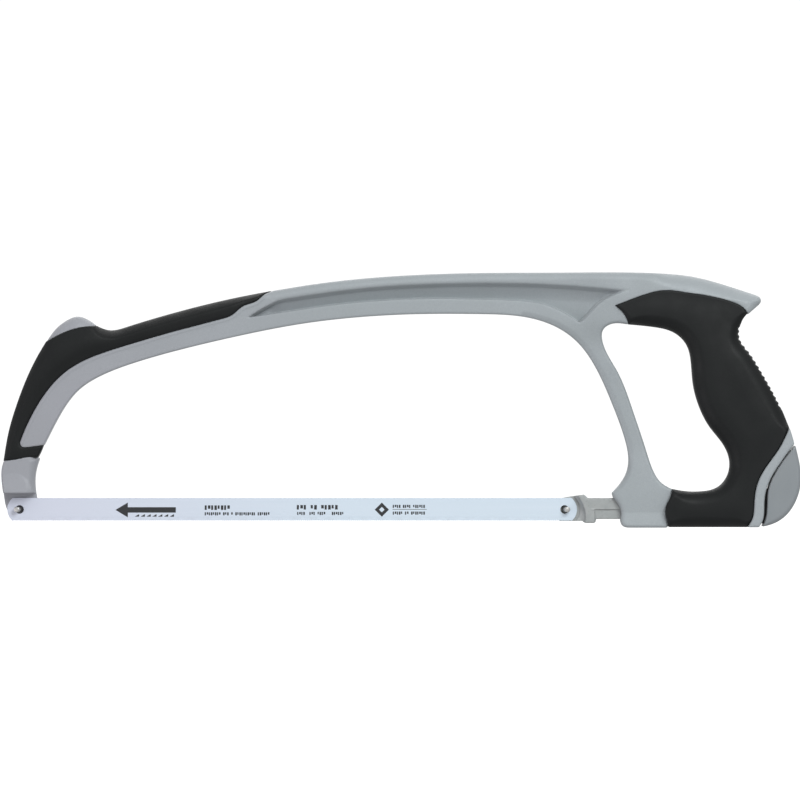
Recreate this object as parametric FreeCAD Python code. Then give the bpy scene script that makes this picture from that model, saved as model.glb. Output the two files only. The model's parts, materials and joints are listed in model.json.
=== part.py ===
"""Hacksaw with a die-cast bow frame, moulded grips and a heel lever that tensions the blade.

Millimetres. X runs from the nose (-) to the heel of the handle (+), Z is up, and the side that
the blade is mounted on faces -Y. The origin is under the middle of the saw, at its lowest level.
Outlines are lists of stretches in the XZ plane: two points are a straight line, more are a
smooth curve through them, and each stretch starts where the one before it ends.
"""

import FreeCAD
import Part
import math
import os

# ---- driving dimensions ------------------------------------------------------------------
PIN_SPAN = 300.0            # hole to hole length of a standard hand hacksaw blade
FRONT_HOLE_X = -210.0
REAR_HOLE_X = FRONT_HOLE_X + PIN_SPAN
AXIS_Z = 10.5               # height of the drawbar's axis and of the lever's pivot
PAST = 35.0                 # cutting tools reach this far past what they cut
TINY = 1e-3

BLADE_Z = 9.95              # height of the blade's centre line
BLADE_WIDTH = 12.7          # back to tooth tips
BLADE_THICK = 0.65
BLADE_HOLE_R = 2.35
BLADE_FLAT_END = 3.8        # the straight edges run this far past the holes
BLADE_END = 6.8             # from hole centre to the end of the blade
TOOTH_STRIP = 2.2           # width of the welded high-speed steel edge
TOOTH_PITCH = 25.4 / 24.0   # 24 teeth per inch
TOOTH_DEPTH = 0.75
GULLET = 0.85               # part of the pitch from a tip to the bottom of its gullet
SEAT_GAP = 0.05             # between the blade and the seats it lies on

PIN_R = 1.5                 # blade pins
PIN_TILT = 12.0             # degrees that each pin leans away from the blade
PIN_OFFSET = 0.70           # how far each taut pin stands off its hole's centre
PIN_OUT, PIN_DEEP = 4.6, 5.0     # lengths in front of the seat and inside it
BLADE_TRAVEL = 2 * PIN_OFFSET
DRAW_TRAVEL = 2 * BLADE_TRAVEL
LEVER_ANGLE = 75.0          # degrees from locked to open

BAR_HEIGHT, BAR_WIDTH = 11.6, 10.0
BAR_REAR_X = 132.0
SLIDE_GAP = 0.15            # of the drawbar in its socket
WEB_X0, WEB_X1 = 144.0, 148.0    # wall in the lower grip that the tension rod passes
ROD_R = 2.5
ROD_X0, ROD_X1 = 118.0, 165.0
ROD_GAP = 0.4
NUT_FLATS, NUT_X, NUT_LENGTH = 8.0, 151.5, 4.0
WASHER_R, WASHER_THICK = 4.6, 1.0
SPRING_R, SPRING_WIRE_R, SPRING_TURNS = 3.9, 0.5, 5

PIVOT_X = 185.0             # lever pivot
PIVOT_R = 2.5
PIVOT_FIT = 0.05            # running clearance of the pivot pin in the cam plates
CAM_OUT = 9.4               # cam pin behind the pivot when the lever is locked
CAM_PIN_R = 2.0
CAM_FIT = 0.08              # running clearance of the cam pin in its slot
CAM_STEPS = 10              # points along the spiral slot
LINK_HALF, LINK_RISE = 3.0, 5.0  # half thickness and half height of the draw link
LINK_X0 = 157.0
LINK_BOSS_R, LINK_BOSS_LENGTH, LINK_BOSS_OVERLAP = 4.4, 8.0, 2.0
LINK_GAP = 0.4              # link to cam plates, and slot to pivot pin
CAM_PLATE = 4.0             # thickness of each cam plate
CAM_PLATE_Y = LINK_HALF + LINK_GAP
HUB_HALF = CAM_PLATE_Y + CAM_PLATE
HUB_R = 11.0
HUB_FLAT = 8.2              # the hub is cut flat this far under the pivot
POCKET_GAP = 0.4
RIVET_R = 2.0
RIVETS = [(207.0, 13.5), (209.0, 24.5)]
PLATE_FOOT_X = 199.4        # where the cam plates' flat underside ends

PLATE_HALF = 6.5            # half thickness of the casting's thinnest outline
WEB_HALF = 3.0              # half thickness of the web in the spine's groove
SEAT_TOP, SEAT_REAR_X = 19.0, -190.0     # blade seat on the nose
SEAT_FROM_X = 80.0          # blade seat on the drawbar's head
FACET_TOP, FACET_DEEP = 28.4, 3.4        # sloping flat above the blade seat
FACET_MIDDLE, FACET_R = (-212.0, 18.0), 11.2
SOCKET_HALF = 10.0
STRIP_HALF = 16.0
CORE_HALF = 11.0            # casting inside the upper handle grip
HOUSING_HALF = 13.5         # casting around the lever's hub
FRONT_GRIP_HALF = 11.5
FRONT_GRIP_BEVEL = 2.0
HANDLE_GRIP_HALF = 15.5
HANDLE_GRIP_ROUND = 4.0
COVER_HALF = 15.0           # half width of the lever's cover
COVER_ROUND = 2.5

# areas of the casting that are thicker than its plate: half thickness, X range, Z range
DECK_AREA = (STRIP_HALF, -225, 205, 116.5, 145)
NOSE_AREA = (STRIP_HALF, -225, -60, 0, 145)
CORE_AREA = (CORE_HALF, 150, 212, 40, 125)
HOUSING_AREA = (HOUSING_HALF, 150, 220, -1, 50)
SOCKET_AREA = (SOCKET_HALF, 112, 160, -1, 22)
DECK_PLAN = [(-225, 10.5), (-190, 9.6), (-130, 8.6), (-60, 8), (40, 8.2), (95, 10), (140, 13),
             (175, 13), (192, 11.5), (200, 9.5)]    # x, half width of the nose, bow and deck


# ---- outlines ----------------------------------------------------------------------------
NOSE_OUTER = [(-212.0, 4.9), (-216.4, 9.0), (-218.6, 17.0), (-219.7, 26.0), (-219.3, 34.0),
              (-218.4, 36.8)]
FRONT_CORE_OUTER = [(-216.4, 37.6), (-213.0, 54.0), (-208.2, 70.0), (-201.6, 86.0),
                    (-194.0, 98.6), (-192.6, 100.6)]
THUMB_REST = [(-194.9, 102.6), (-189.6, 109.7), (-184.0, 114.0), (-177.8, 116.1),
              (-172.0, 114.2), (-167.6, 111.1)]
FRONT_CORE_TOP = [(-167.0, 108.2), (-160.0, 105.9), (-150.0, 107.9), (-130.0, 114.1),
                  (-110.0, 119.4), (-90.0, 124.0), (-76.0, 126.6)]
SPINE_TOP = [(-70.2, 130.3), (-50.0, 133.6), (-22.0, 136.9), (10.0, 139.1), (44.0, 140.1),
             (88.0, 140.3), (121.0, 140.4), (143.0, 139.8), (160.0, 138.1), (177.0, 133.8),
             (195.2, 127.9)]
HORN_TIP = [(195.2, 127.9), (197.5, 126.4), (198.0, 124.5), (196.4, 122.2)]
HORN_UNDER = [(190.8, 117.4), (185.6, 117.0)]
HANDLE_CORE_BACK = [(185.6, 117.0), (183.0, 107.5), (187.0, 97.0), (194.0, 84.6),
                    (200.6, 72.0), (206.4, 59.0), (208.4, 54.2)]
STRIP_OUTER = [(213.6, 54.2), (215.2, 49.2), (216.0, 45.9)]
STRIP_REAR = [(216.0, 45.9), (213.1, 42.4), (209.2, 36.9), (205.2, 31.0), (202.3, 25.6),
              (200.3, 20.0), (199.5, 14.0), (199.4, 9.0), (198.6, 3.9), (196.6, 0.3)]
STRIP_FOOT = [(190.8, 0.3), (190.8, 2.6)]
GRIP_BED_FRONT = [(147.4, 2.6), (146.2, 0.0)]
MOUTH_LIP = [(124.6, 0.0), (122.3, 0.6), (120.9, 2.6), (120.6, 4.2)]
MOUTH_EDGE = [(120.6, 4.2), (121.0, 8.0), (119.4, 13.0), (116.6, 16.6)]
STRUT_THROAT = [(115.8, 19.0), (119.6, 23.1), (123.4, 29.0), (125.1, 36.5), (123.6, 47.0),
                (116.2, 68.0), (106.0, 90.0), (96.6, 102.5), (85.0, 110.6), (68.0, 115.9),
                (44.0, 117.5), (10.0, 117.5), (-22.0, 115.9), (-55.0, 112.1),
                (-88.0, 105.8), (-120.0, 98.3), (-148.0, 90.3), (-166.0, 83.2),
                (-177.8, 75.4), (-187.0, 63.2), (-195.4, 47.2), (-196.2, 45.6)]
UNDER_BAND = [(-198.2, 44.6), (-200.8, 39.2)]
NOSE_INNER = [(-198.7, 38.1), (-200.6, 32.0), (-201.3, 25.5), (-200.6, 17.5),
              (-200.3, 11.0), (-202.5, 6.2), (-212.0, 4.9)]

WINDOW_METAL = [(124.9, 111.8), (116.4, 112.1), (111.6, 108.6), (111.5, 102.0),
                (118.7, 86.4), (127.5, 64.4), (134.8, 42.4), (138.6, 31.4), (142.9, 24.9),
                (149.0, 21.3)]
WINDOW_GRIP = [(149.0, 21.3), (156.0, 20.1), (166.0, 20.0), (173.6, 21.9), (179.4, 28.2),
               (180.8, 36.4), (177.4, 45.6), (170.0, 55.2), (164.0, 66.8), (160.7, 79.0),
               (159.6, 91.0), (157.4, 100.0), (150.4, 107.2), (140.0, 110.2), (124.9, 111.8)]
WINDOW_CORE = [(149.4, 18.2), (166.0, 17.0), (175.4, 19.4), (182.4, 26.8), (184.0, 36.8),
               (180.4, 47.2), (173.0, 57.0), (167.0, 68.4), (163.8, 80.0), (162.7, 91.6),
               (160.2, 101.9), (152.0, 110.0), (140.6, 113.3), (125.4, 114.8)]

HANDLE_TOP_EDGE = [(118.8, 122.6), (131.0, 127.4), (143.4, 130.6), (156.0, 129.6),
                   (171.0, 127.2), (182.0, 124.2), (188.6, 120.6), (190.6, 118.0)]
HANDLE_NECK = [(190.6, 118.0), (187.8, 114.4), (186.2, 110.0)]
HANDLE_BACK = [(186.2, 110.0), (186.4, 104.0), (190.6, 97.6), (197.9, 86.4), (204.2, 75.4),
               (209.6, 64.4), (213.4, 54.9)]
HANDLE_STRIP_EDGE = [(213.4, 54.9), (207.2, 42.6), (199.4, 31.5), (195.2, 22.0),
                     (194.0, 12.0), (193.0, 4.8), (190.4, 0.3)]
HANDLE_LOWER_EDGE = [(147.2, 0.3), (145.5, 6.0), (145.4, 11.4), (148.0, 17.2),
                     (149.0, 21.3)]
HANDLE_UPPER_EDGE = [(124.9, 111.8), (123.4, 116.4), (118.8, 122.6)]

GRIP_OUTER = [(-218.7, 36.5), (-216.1, 52.0), (-211.4, 68.0), (-205.2, 84.0),
              (-197.6, 98.6), (-195.3, 102.3)]
GRIP_REST_EDGE = [(-195.3, 102.3), (-187.0, 106.8), (-177.6, 110.0), (-167.7, 111.1)]
GRIP_TOP = [(-167.7, 111.1), (-160.4, 108.6), (-151.0, 110.4), (-132.0, 116.2),
            (-110.0, 122.1), (-88.0, 127.1), (-70.4, 130.4)]
GRIP_TIP = [(-70.4, 130.4), (-75.4, 127.6), (-79.4, 124.2), (-86.8, 121.4),
            (-92.6, 116.8), (-96.0, 115.2)]
GRIP_RAIL = [(-96.0, 115.2), (-121.0, 108.7), (-143.0, 102.4), (-160.0, 97.1),
             (-174.0, 91.7), (-185.0, 84.8), (-194.0, 75.4), (-201.2, 64.4),
             (-206.6, 53.4), (-209.2, 46.8)]
GRIP_RAIL_END = [(-209.2, 46.8), (-208.6, 44.9), (-206.4, 44.4)]
GRIP_BAND = [(-196.6, 45.7), (-198.0, 42.0), (-199.7, 38.7)]
GRIP_FOOT = [(-199.7, 38.7), (-205.0, 38.6), (-212.0, 37.2), (-218.7, 36.5)]

GROOVE_LOWER = [(-85.0, 115.4), (-60.0, 119.2), (-34.0, 122.9), (-6.0, 125.2),
                (20.0, 126.0), (46.0, 125.5), (68.0, 124.5), (79.0, 122.7), (88.0, 119.2),
                (98.4, 113.2)]
GROOVE_TAIL = [(98.4, 113.2), (102.6, 116.6), (107.6, 122.0), (115.0, 127.0),
               (125.4, 130.6)]
GROOVE_UPPER = [(125.4, 130.6), (95.0, 133.4), (60.0, 134.9), (20.0, 134.6),
                (-16.0, 132.6), (-45.0, 129.2), (-66.0, 126.0)]
GROOVE_HEAD = [(-66.0, 126.0), (-76.0, 121.0), (-85.0, 115.4)]

LEVER_FRONT = [(216.6, 45.2), (210.1, 37.1), (206.2, 31.2), (203.3, 25.6), (201.6, 19.8),
               (201.2, 13.0), (200.9, 8.0), (200.0, 3.8), (198.6, 0.6)]
LEVER_BACK = [(198.6, 0.6), (203.4, 1.8), (211.4, 6.7), (217.2, 15.4), (219.6, 25.0),
              (219.1, 34.0), (216.6, 45.2)]
PLATE_REAR = [(205.0, 21.5), (209.4, 29.2), (212.6, 27.0), (212.8, 19.0), (208.4, 9.2),
              (200.6, 3.2)]

HEAD_FRONT = [(87.4, 3.6), (84.9, 6.4), (84.6, 10.0), (84.9, 13.4), (87.0, 16.0)]
HEAD_TOP = [(87.0, 16.0), (93.6, 16.9), (100.8, 18.1)]
HEAD_LUG = [(107.3, 4.7), (107.0, 3.2), (106.2, 2.5), (101.4, 2.5), (100.6, 2.8), (99.8, 3.6),
            (87.4, 3.6)]
SEAT_WALL = [(96.6, 19.0), (100.0, 13.4), (101.7, 8.0), (101.4, 2.0)]


# ---- shape helpers -----------------------------------------------------------------------
def vec(point, y=0.0):
    return FreeCAD.Vector(point[0], y, point[1])


def edge_through(points):
    """A line through two points, or a smooth curve through more."""
    if len(points) == 2:
        return Part.LineSegment(vec(points[0]), vec(points[1])).toShape()
    curve = Part.BSplineCurve()
    curve.interpolate([vec(p) for p in points])
    return curve.toShape()


def closed_face(*stretches):
    """The face inside stretches joined end to end. A gap between two is a straight line."""
    edges = []
    for here, after in zip(stretches, stretches[1:] + stretches[:1]):
        edges.append(edge_through(here))
        if math.dist(here[-1], after[0]) > TINY:
            edges.append(edge_through([here[-1], after[0]]))
    return Part.Face(Part.Wire(edges))


def slab(face, y_low, y_high):
    """An XZ face made into a plate between two Y levels."""
    plate = face.copy()
    plate.translate(FreeCAD.Vector(0, y_low, 0))
    return plate.extrude(FreeCAD.Vector(0, y_high - y_low, 0))


def block(x0, x1, y0, y1, z0, z1):
    return Part.makeBox(x1 - x0, y1 - y0, z1 - z0, FreeCAD.Vector(x0, y0, z0))


def rod_y(x, z, radius, y0, y1):
    """A cylinder along Y."""
    return Part.makeCylinder(radius, y1 - y0, FreeCAD.Vector(x, y0, z), FreeCAD.Vector(0, 1, 0))


def rod_x(x0, x1, z, radius, y=0.0):
    """A cylinder along X."""
    return Part.makeCylinder(radius, x1 - x0, FreeCAD.Vector(x0, y, z), FreeCAD.Vector(1, 0, 0))


def plan_prism(half_widths):
    """Everything near the middle plane: (x, half width) pairs give its edges, at any height."""
    curves = []
    for side, pairs in ((-1, half_widths), (1, half_widths[::-1])):
        curve = Part.BSplineCurve()
        curve.interpolate([FreeCAD.Vector(x, side * w, -PAST) for x, w in pairs])
        curves.append(curve)
    ends = [Part.LineSegment(a.EndPoint, b.StartPoint) for a, b in (curves, curves[::-1])]
    wire = Part.Wire([curves[0].toShape(), ends[0].toShape(), curves[1].toShape(),
                      ends[1].toShape()])
    return Part.Face(wire).extrude(FreeCAD.Vector(0, 0, 6 * PAST))


def face_edges(plate, half):
    """The edges around both faces of a plate that is half thick each side of the middle."""
    return [e for e in plate.Edges
            if e.BoundBox.YLength < TINY and abs(e.BoundBox.YMax) > half - TINY]


def save(name, shape):
    if not shape.isValid():
        raise ValueError(name + " isn't a valid shape")
    shape.exportStep(os.path.join("parts", name + ".step"))
    print(f"{name}: {len(shape.Solids)} solid(s), {shape.Volume:.0f} mm3")


# ---- the casting -------------------------------------------------------------------------
def frame_outline():
    """The casting seen from the side, without the hand window."""
    return closed_face(
        NOSE_OUTER, FRONT_CORE_OUTER, THUMB_REST, FRONT_CORE_TOP, SPINE_TOP, HORN_TIP,
        HORN_UNDER, HANDLE_CORE_BACK, STRIP_OUTER, STRIP_REAR, STRIP_FOOT, GRIP_BED_FRONT,
        MOUTH_LIP, MOUTH_EDGE, STRUT_THROAT, UNDER_BAND, NOSE_INNER)


def frame_body():
    """The casting before any recess: one outline with a thickness of its own in each area."""
    outline = frame_outline()
    window = slab(closed_face(WINDOW_METAL, WINDOW_CORE), -STRIP_HALF, STRIP_HALF)

    def area(half, x0, x1, z0, z1):
        return slab(outline, -half, half).common(block(x0, x1, -half, half, z0, z1))

    plate = slab(outline, -PLATE_HALF, PLATE_HALF)
    deck = area(*DECK_AREA).fuse(area(*NOSE_AREA)).common(plan_prism(DECK_PLAN))
    strip = closed_face(STRIP_OUTER, STRIP_REAR, HANDLE_STRIP_EDGE[::-1])
    strip = slab(strip, -STRIP_HALF, STRIP_HALF)
    thick = [area(*CORE_AREA), area(*HOUSING_AREA), area(*SOCKET_AREA)]
    return plate.fuse([deck, strip, *thick]).cut(window)


def lever_pocket():
    """The room that the lever's hub turns in, open below and behind."""
    half = HUB_HALF + POCKET_GAP
    radius = HUB_R + POCKET_GAP
    hub = rod_y(PIVOT_X, AXIS_Z, radius, -half, half)
    rear = PIVOT_X + PAST
    below = block(PIVOT_X - radius, rear, -half, half, -PAST, AXIS_Z)
    behind = block(PIVOT_X, rear, -half, half, -PAST, AXIS_Z + radius)
    return hub.fuse([below, behind])


def nose_facet():
    """The sloping flat on the nose that runs down to the blade seat."""
    half = DECK_PLAN[0][1]
    profile = [FreeCAD.Vector(FRONT_HOLE_X - PAST, y, z) for y, z in
               ((-half, FACET_TOP), (FACET_DEEP - half, SEAT_TOP), (-2 * half, SEAT_TOP),
                (-2 * half, FACET_TOP))]
    wedge = Part.Face(Part.makePolygon(profile + profile[:1]))
    wedge = wedge.extrude(FreeCAD.Vector(2 * PAST, 0, 0))
    return wedge.common(rod_y(*FACET_MIDDLE, FACET_R, -2 * half, 0))


def frame_recesses():
    """What is cast or machined away from the body."""
    groove = closed_face(GROOVE_LOWER, GROOVE_TAIL, GROOVE_UPPER, GROOVE_HEAD)
    seat = block(FRONT_HOLE_X - PAST, SEAT_REAR_X, -STRIP_HALF, 0, -PAST, SEAT_TOP)
    bore_y = BAR_WIDTH / 2 + SLIDE_GAP
    bore_z = BAR_HEIGHT / 2 + SLIDE_GAP
    bore = block(REAR_HOLE_X, WEB_X0, -bore_y, bore_y, AXIS_Z - bore_z, AXIS_Z + bore_z)
    rod_hole = rod_x(WEB_X0 - 1, WEB_X1 + 1, AXIS_Z, ROD_R + ROD_GAP)
    tunnel_y = WASHER_R + ROD_GAP
    tunnel_z = LINK_RISE + ROD_GAP
    tunnel = block(WEB_X1, PIVOT_X, -tunnel_y, tunnel_y, AXIS_Z - tunnel_z, AXIS_Z + tunnel_z)
    pivot = rod_y(PIVOT_X, AXIS_Z, PIVOT_R, -HOUSING_HALF, HOUSING_HALF)
    pin = blade_pin(FRONT_HOLE_X, -1)
    return [slab(groove, WEB_HALF, PAST), slab(groove, -PAST, -WEB_HALF), seat, nose_facet(), bore,
            rod_hole, tunnel, lever_pocket(), pivot, pin]


def frame_casting():
    body = frame_body()
    for recess in frame_recesses():
        body = body.cut(recess)
    return body.removeSplitter()


# ---- moulded grips -----------------------------------------------------------------------
def front_grip(casting_body):
    face = closed_face(GRIP_OUTER, GRIP_REST_EDGE, GRIP_TOP, GRIP_TIP, GRIP_RAIL, GRIP_RAIL_END,
                       GRIP_BAND, GRIP_FOOT)
    grip = slab(face, -FRONT_GRIP_HALF, FRONT_GRIP_HALF)
    grip = grip.makeChamfer(FRONT_GRIP_BEVEL, face_edges(grip, FRONT_GRIP_HALF))
    return grip.cut(casting_body)


def handle_grip(casting_body):
    face = closed_face(HANDLE_TOP_EDGE, HANDLE_NECK, HANDLE_BACK, HANDLE_STRIP_EDGE,
                       HANDLE_LOWER_EDGE, WINDOW_GRIP, HANDLE_UPPER_EDGE)
    grip = slab(face, -HANDLE_GRIP_HALF, HANDLE_GRIP_HALF)
    grip = grip.makeFillet(HANDLE_GRIP_ROUND, face_edges(grip, HANDLE_GRIP_HALF))
    return grip.cut(casting_body).cut(lever_pocket())


# ---- blade and drawbar -------------------------------------------------------------------
def blade_pin(hole_x, outward):
    """A blade pin leaning away from the blade; outward is -1 at the front and 1 at the rear."""
    lean = math.radians(PIN_TILT)
    axis = FreeCAD.Vector(outward * math.sin(lean), -math.cos(lean), 0)
    middle = FreeCAD.Vector(hole_x + outward * PIN_OFFSET, -SEAT_GAP - BLADE_THICK / 2, BLADE_Z)
    return Part.makeCylinder(PIN_R, PIN_OUT + PIN_DEEP, middle - axis * PIN_DEEP, axis)


def blade_blank():
    """The blade with its round ends and holes, before it is divided into back and edge."""
    top, bottom = BLADE_Z + BLADE_WIDTH / 2, BLADE_Z - BLADE_WIDTH / 2
    x0, x1 = FRONT_HOLE_X - BLADE_FLAT_END, REAR_HOLE_X + BLADE_FLAT_END
    rear_end = Part.Arc(vec((x1, top)), vec((REAR_HOLE_X + BLADE_END, BLADE_Z)), vec((x1, bottom)))
    front_end = Part.Arc(vec((x0, bottom)), vec((FRONT_HOLE_X - BLADE_END, BLADE_Z)),
                         vec((x0, top)))
    edges = [edge_through([(x0, top), (x1, top)]), rear_end.toShape(),
             edge_through([(x1, bottom), (x0, bottom)]), front_end.toShape()]
    blank = slab(Part.Face(Part.Wire(edges)), -SEAT_GAP - BLADE_THICK, -SEAT_GAP)
    for hole_x in (FRONT_HOLE_X, REAR_HOLE_X):
        blank = blank.cut(rod_y(hole_x, BLADE_Z, BLADE_HOLE_R, -PAST, PAST))
    return blank


def blade_back():
    weld = BLADE_Z - BLADE_WIDTH / 2 + TOOTH_STRIP
    whole = (FRONT_HOLE_X - PAST, REAR_HOLE_X + PAST, -PAST, PAST, weld, PAST)
    return blade_blank().common(block(*whole))


def tooth_strip():
    """The high-speed steel edge. Its teeth point forward: a steep face, then a sloping back."""
    tips = BLADE_Z - BLADE_WIDTH / 2
    x0, x1 = FRONT_HOLE_X - BLADE_FLAT_END, REAR_HOLE_X + BLADE_FLAT_END
    weld = tips + TOOTH_STRIP
    corners = [(x0 - BLADE_END, weld), (x0 - BLADE_END, tips)]
    for tooth in range(int((x1 - x0) / TOOTH_PITCH)):
        x = x0 + tooth * TOOTH_PITCH
        corners += [(x, tips), (x + GULLET * TOOTH_PITCH, tips + TOOTH_DEPTH)]
    corners += [(x1, tips), (x1 + BLADE_END, tips), (x1 + BLADE_END, weld)]
    points = [vec(p) for p in corners]
    teeth = Part.Face(Part.makePolygon(points + points[:1]))
    return blade_blank().common(slab(teeth, -PAST, PAST))


def drawbar():
    """The bar with its head: a flat seat for the blade, and a curved wall behind the blade."""
    half = BAR_WIDTH / 2
    top, bottom = AXIS_Z + BAR_HEIGHT / 2, AXIS_Z - BAR_HEIGHT / 2
    face = closed_face(HEAD_FRONT, HEAD_TOP, [(102.8, top), (BAR_REAR_X, top)],
                       [(BAR_REAR_X, bottom), HEAD_LUG[0]], *zip(HEAD_LUG, HEAD_LUG[1:]))
    seat = closed_face([(SEAT_FROM_X, SEAT_WALL[-1][1]), (SEAT_FROM_X, SEAT_WALL[0][1])], SEAT_WALL)
    bar = slab(face, -half, half).cut(slab(seat, -2 * half, 0))
    bar = bar.cut(rod_x(ROD_X0, BAR_REAR_X + PAST, AXIS_Z, ROD_R))
    return bar.cut(blade_pin(REAR_HOLE_X, 1))


# ---- tension gear inside the handle ------------------------------------------------------
def nut():
    corner_r = NUT_FLATS / math.sqrt(3)
    hexagon = [FreeCAD.Vector(NUT_X, corner_r * math.cos(math.radians(60 * k)),
                              AXIS_Z + corner_r * math.sin(math.radians(60 * k)))
               for k in range(6)]
    body = Part.Face(Part.makePolygon(hexagon + hexagon[:1]))
    body = body.extrude(FreeCAD.Vector(NUT_LENGTH, 0, 0))
    return body.cut(rod_x(NUT_X - PAST, NUT_X + PAST, AXIS_Z, ROD_R))


def washer(x, hole_r):
    disc = rod_x(x, x + WASHER_THICK, AXIS_Z, WASHER_R)
    return disc.cut(rod_x(x - PAST, x + PAST, AXIS_Z, hole_r))


def release_spring():
    """A compression spring around the rod, between the drawbar and the web's washer."""
    x0 = BAR_REAR_X + SPRING_WIRE_R + SEAT_GAP
    x1 = WEB_X0 - WASHER_THICK - SPRING_WIRE_R - SEAT_GAP
    helix = Part.makeHelix((x1 - x0) / SPRING_TURNS, x1 - x0, SPRING_R)
    start = FreeCAD.Vector(SPRING_R, 0, 0)
    wire = Part.Wire(Part.makeCircle(SPRING_WIRE_R, start, FreeCAD.Vector(0, 1, 0)))
    spring = Part.Wire(helix).makePipeShell([wire], True, True)
    spring.rotate(FreeCAD.Vector(), FreeCAD.Vector(0, 1, 0), 90)
    spring.translate(FreeCAD.Vector(x0, 0, AXIS_Z))
    return spring


def draw_link():
    """Joins the rod to the cam pin. A slot lets it slide over the lever's pivot pin."""
    cam_x = PIVOT_X + CAM_OUT
    neck = LINK_X0 + LINK_BOSS_LENGTH
    plate = block(neck, cam_x, -LINK_HALF, LINK_HALF, AXIS_Z - LINK_RISE, AXIS_Z + LINK_RISE)
    eye = rod_y(cam_x, AXIS_Z, LINK_RISE, -LINK_HALF, LINK_HALF)
    boss = rod_x(LINK_X0, neck + LINK_BOSS_OVERLAP, AXIS_Z, LINK_BOSS_R)
    slot_r = PIVOT_R + LINK_GAP
    slot_ends = (PIVOT_X, PIVOT_X + DRAW_TRAVEL)
    slot = block(*slot_ends, -PAST, PAST, AXIS_Z - slot_r, AXIS_Z + slot_r)
    slot = slot.fuse([rod_y(x, AXIS_Z, slot_r, -PAST, PAST) for x in slot_ends])
    link = plate.fuse([eye, boss]).cut(slot)
    link = link.cut(rod_x(LINK_X0 - PAST, ROD_X1, AXIS_Z, ROD_R))
    return link.cut(rod_y(cam_x, AXIS_Z, CAM_PIN_R, -PAST, PAST)).removeSplitter()


# ---- lever -------------------------------------------------------------------------------
def spiral_point(angle, off=0.0):
    """A point on the cam slot's centre line, or off it by a distance square to the line."""
    turn = math.radians(angle)
    closing = DRAW_TRAVEL / math.radians(LEVER_ANGLE)
    out = CAM_OUT - closing * turn
    across = off / math.hypot(out, closing)
    x = out * math.cos(turn) + across * (out * math.cos(turn) - closing * math.sin(turn))
    z = out * math.sin(turn) + across * (out * math.sin(turn) + closing * math.cos(turn))
    return PIVOT_X + x, AXIS_Z + z


def cam_slot():
    """A spiral slot: each degree the lever opens lets the cam pin forward by the same amount."""
    radius = CAM_PIN_R + CAM_FIT
    angles = [LEVER_ANGLE * k / CAM_STEPS for k in range(CAM_STEPS + 1)]
    outer = [spiral_point(a, radius) for a in angles]
    inner = [spiral_point(a, -radius) for a in reversed(angles)]
    band = slab(closed_face(outer, inner), -HUB_HALF, HUB_HALF)
    ends = [rod_y(*spiral_point(a), radius, -HUB_HALF, HUB_HALF) for a in (0, LEVER_ANGLE)]
    return band.fuse(ends)


def lever_core_outline():
    """Both cam plates and the spacer seen from the side."""
    low = AXIS_Z - HUB_FLAT
    return closed_face([(PIVOT_X, low), (PIVOT_X, AXIS_Z + HUB_R)], PLATE_REAR,
                       [(PLATE_FOOT_X, low), (PIVOT_X, low)])


def cam_plate(side):
    """One of the two steel cam plates; side is -1 or 1."""
    low, high = sorted((side * CAM_PLATE_Y, side * HUB_HALF))
    hub = rod_y(PIVOT_X, AXIS_Z, HUB_R, low, high)
    above_flat = (PIVOT_X - PAST, PIVOT_X + PAST, -PAST, PAST, AXIS_Z - HUB_FLAT, AXIS_Z + PAST)
    hub = hub.common(block(*above_flat))
    plate = hub.fuse(slab(lever_core_outline(), low, high)).cut(cam_slot())
    plate = plate.cut(rod_y(PIVOT_X, AXIS_Z, PIVOT_R + PIVOT_FIT, -PAST, PAST))
    for x, z in RIVETS:
        plate = plate.cut(rod_y(x, z, RIVET_R, -PAST, PAST))
    return plate.removeSplitter()


def lever_spacer():
    """The block that holds the cam plates apart behind the link's eye."""
    spacer = slab(lever_core_outline(), -CAM_PLATE_Y, CAM_PLATE_Y)
    swing = CAM_OUT + LINK_RISE + LINK_GAP
    spacer = spacer.cut(rod_y(PIVOT_X, AXIS_Z, swing, -PAST, PAST))
    for x, z in RIVETS:
        spacer = spacer.cut(rod_y(x, z, RIVET_R, -PAST, PAST))
    return spacer


def lever_rivets():
    return Part.makeCompound([rod_y(x, z, RIVET_R, -HUB_HALF, HUB_HALF) for x, z in RIVETS])


def lever_cover():
    """The moulded heel around the rear of the cam plates."""
    heel = slab(closed_face(LEVER_FRONT, LEVER_BACK), -COVER_HALF, COVER_HALF)
    heel = heel.makeFillet(COVER_ROUND, face_edges(heel, COVER_HALF))
    return heel.cut(slab(lever_core_outline(), -HUB_HALF, HUB_HALF))


def main():
    os.makedirs("parts", exist_ok=True)
    body = frame_body()
    save("frame_casting", frame_casting())
    save("front_grip", front_grip(body))
    save("handle_grip", handle_grip(body))
    save("front_blade_pin", blade_pin(FRONT_HOLE_X, -1))
    save("pivot_pin", rod_y(PIVOT_X, AXIS_Z, PIVOT_R, -HOUSING_HALF, HOUSING_HALF))
    save("spring_washer", washer(WEB_X0 - WASHER_THICK, ROD_R + ROD_GAP))
    save("release_spring", release_spring())
    save("drawbar", drawbar())
    save("rear_blade_pin", blade_pin(REAR_HOLE_X, 1))
    save("tension_rod", rod_x(ROD_X0, ROD_X1, AXIS_Z, ROD_R))
    save("lock_nut", nut())
    save("lock_washer", washer(NUT_X + NUT_LENGTH, ROD_R))
    save("draw_link", draw_link())
    save("cam_pin", rod_y(PIVOT_X + CAM_OUT, AXIS_Z, CAM_PIN_R, -HUB_HALF, HUB_HALF))
    save("cam_plate_left", cam_plate(-1))
    save("cam_plate_right", cam_plate(1))
    save("lever_spacer", lever_spacer())
    save("lever_rivets", lever_rivets())
    save("lever_cover", lever_cover())
    save("blade_back", blade_back())
    save("tooth_strip", tooth_strip())


if __name__ == "__main__":
    main()
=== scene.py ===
import json
import math

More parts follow.
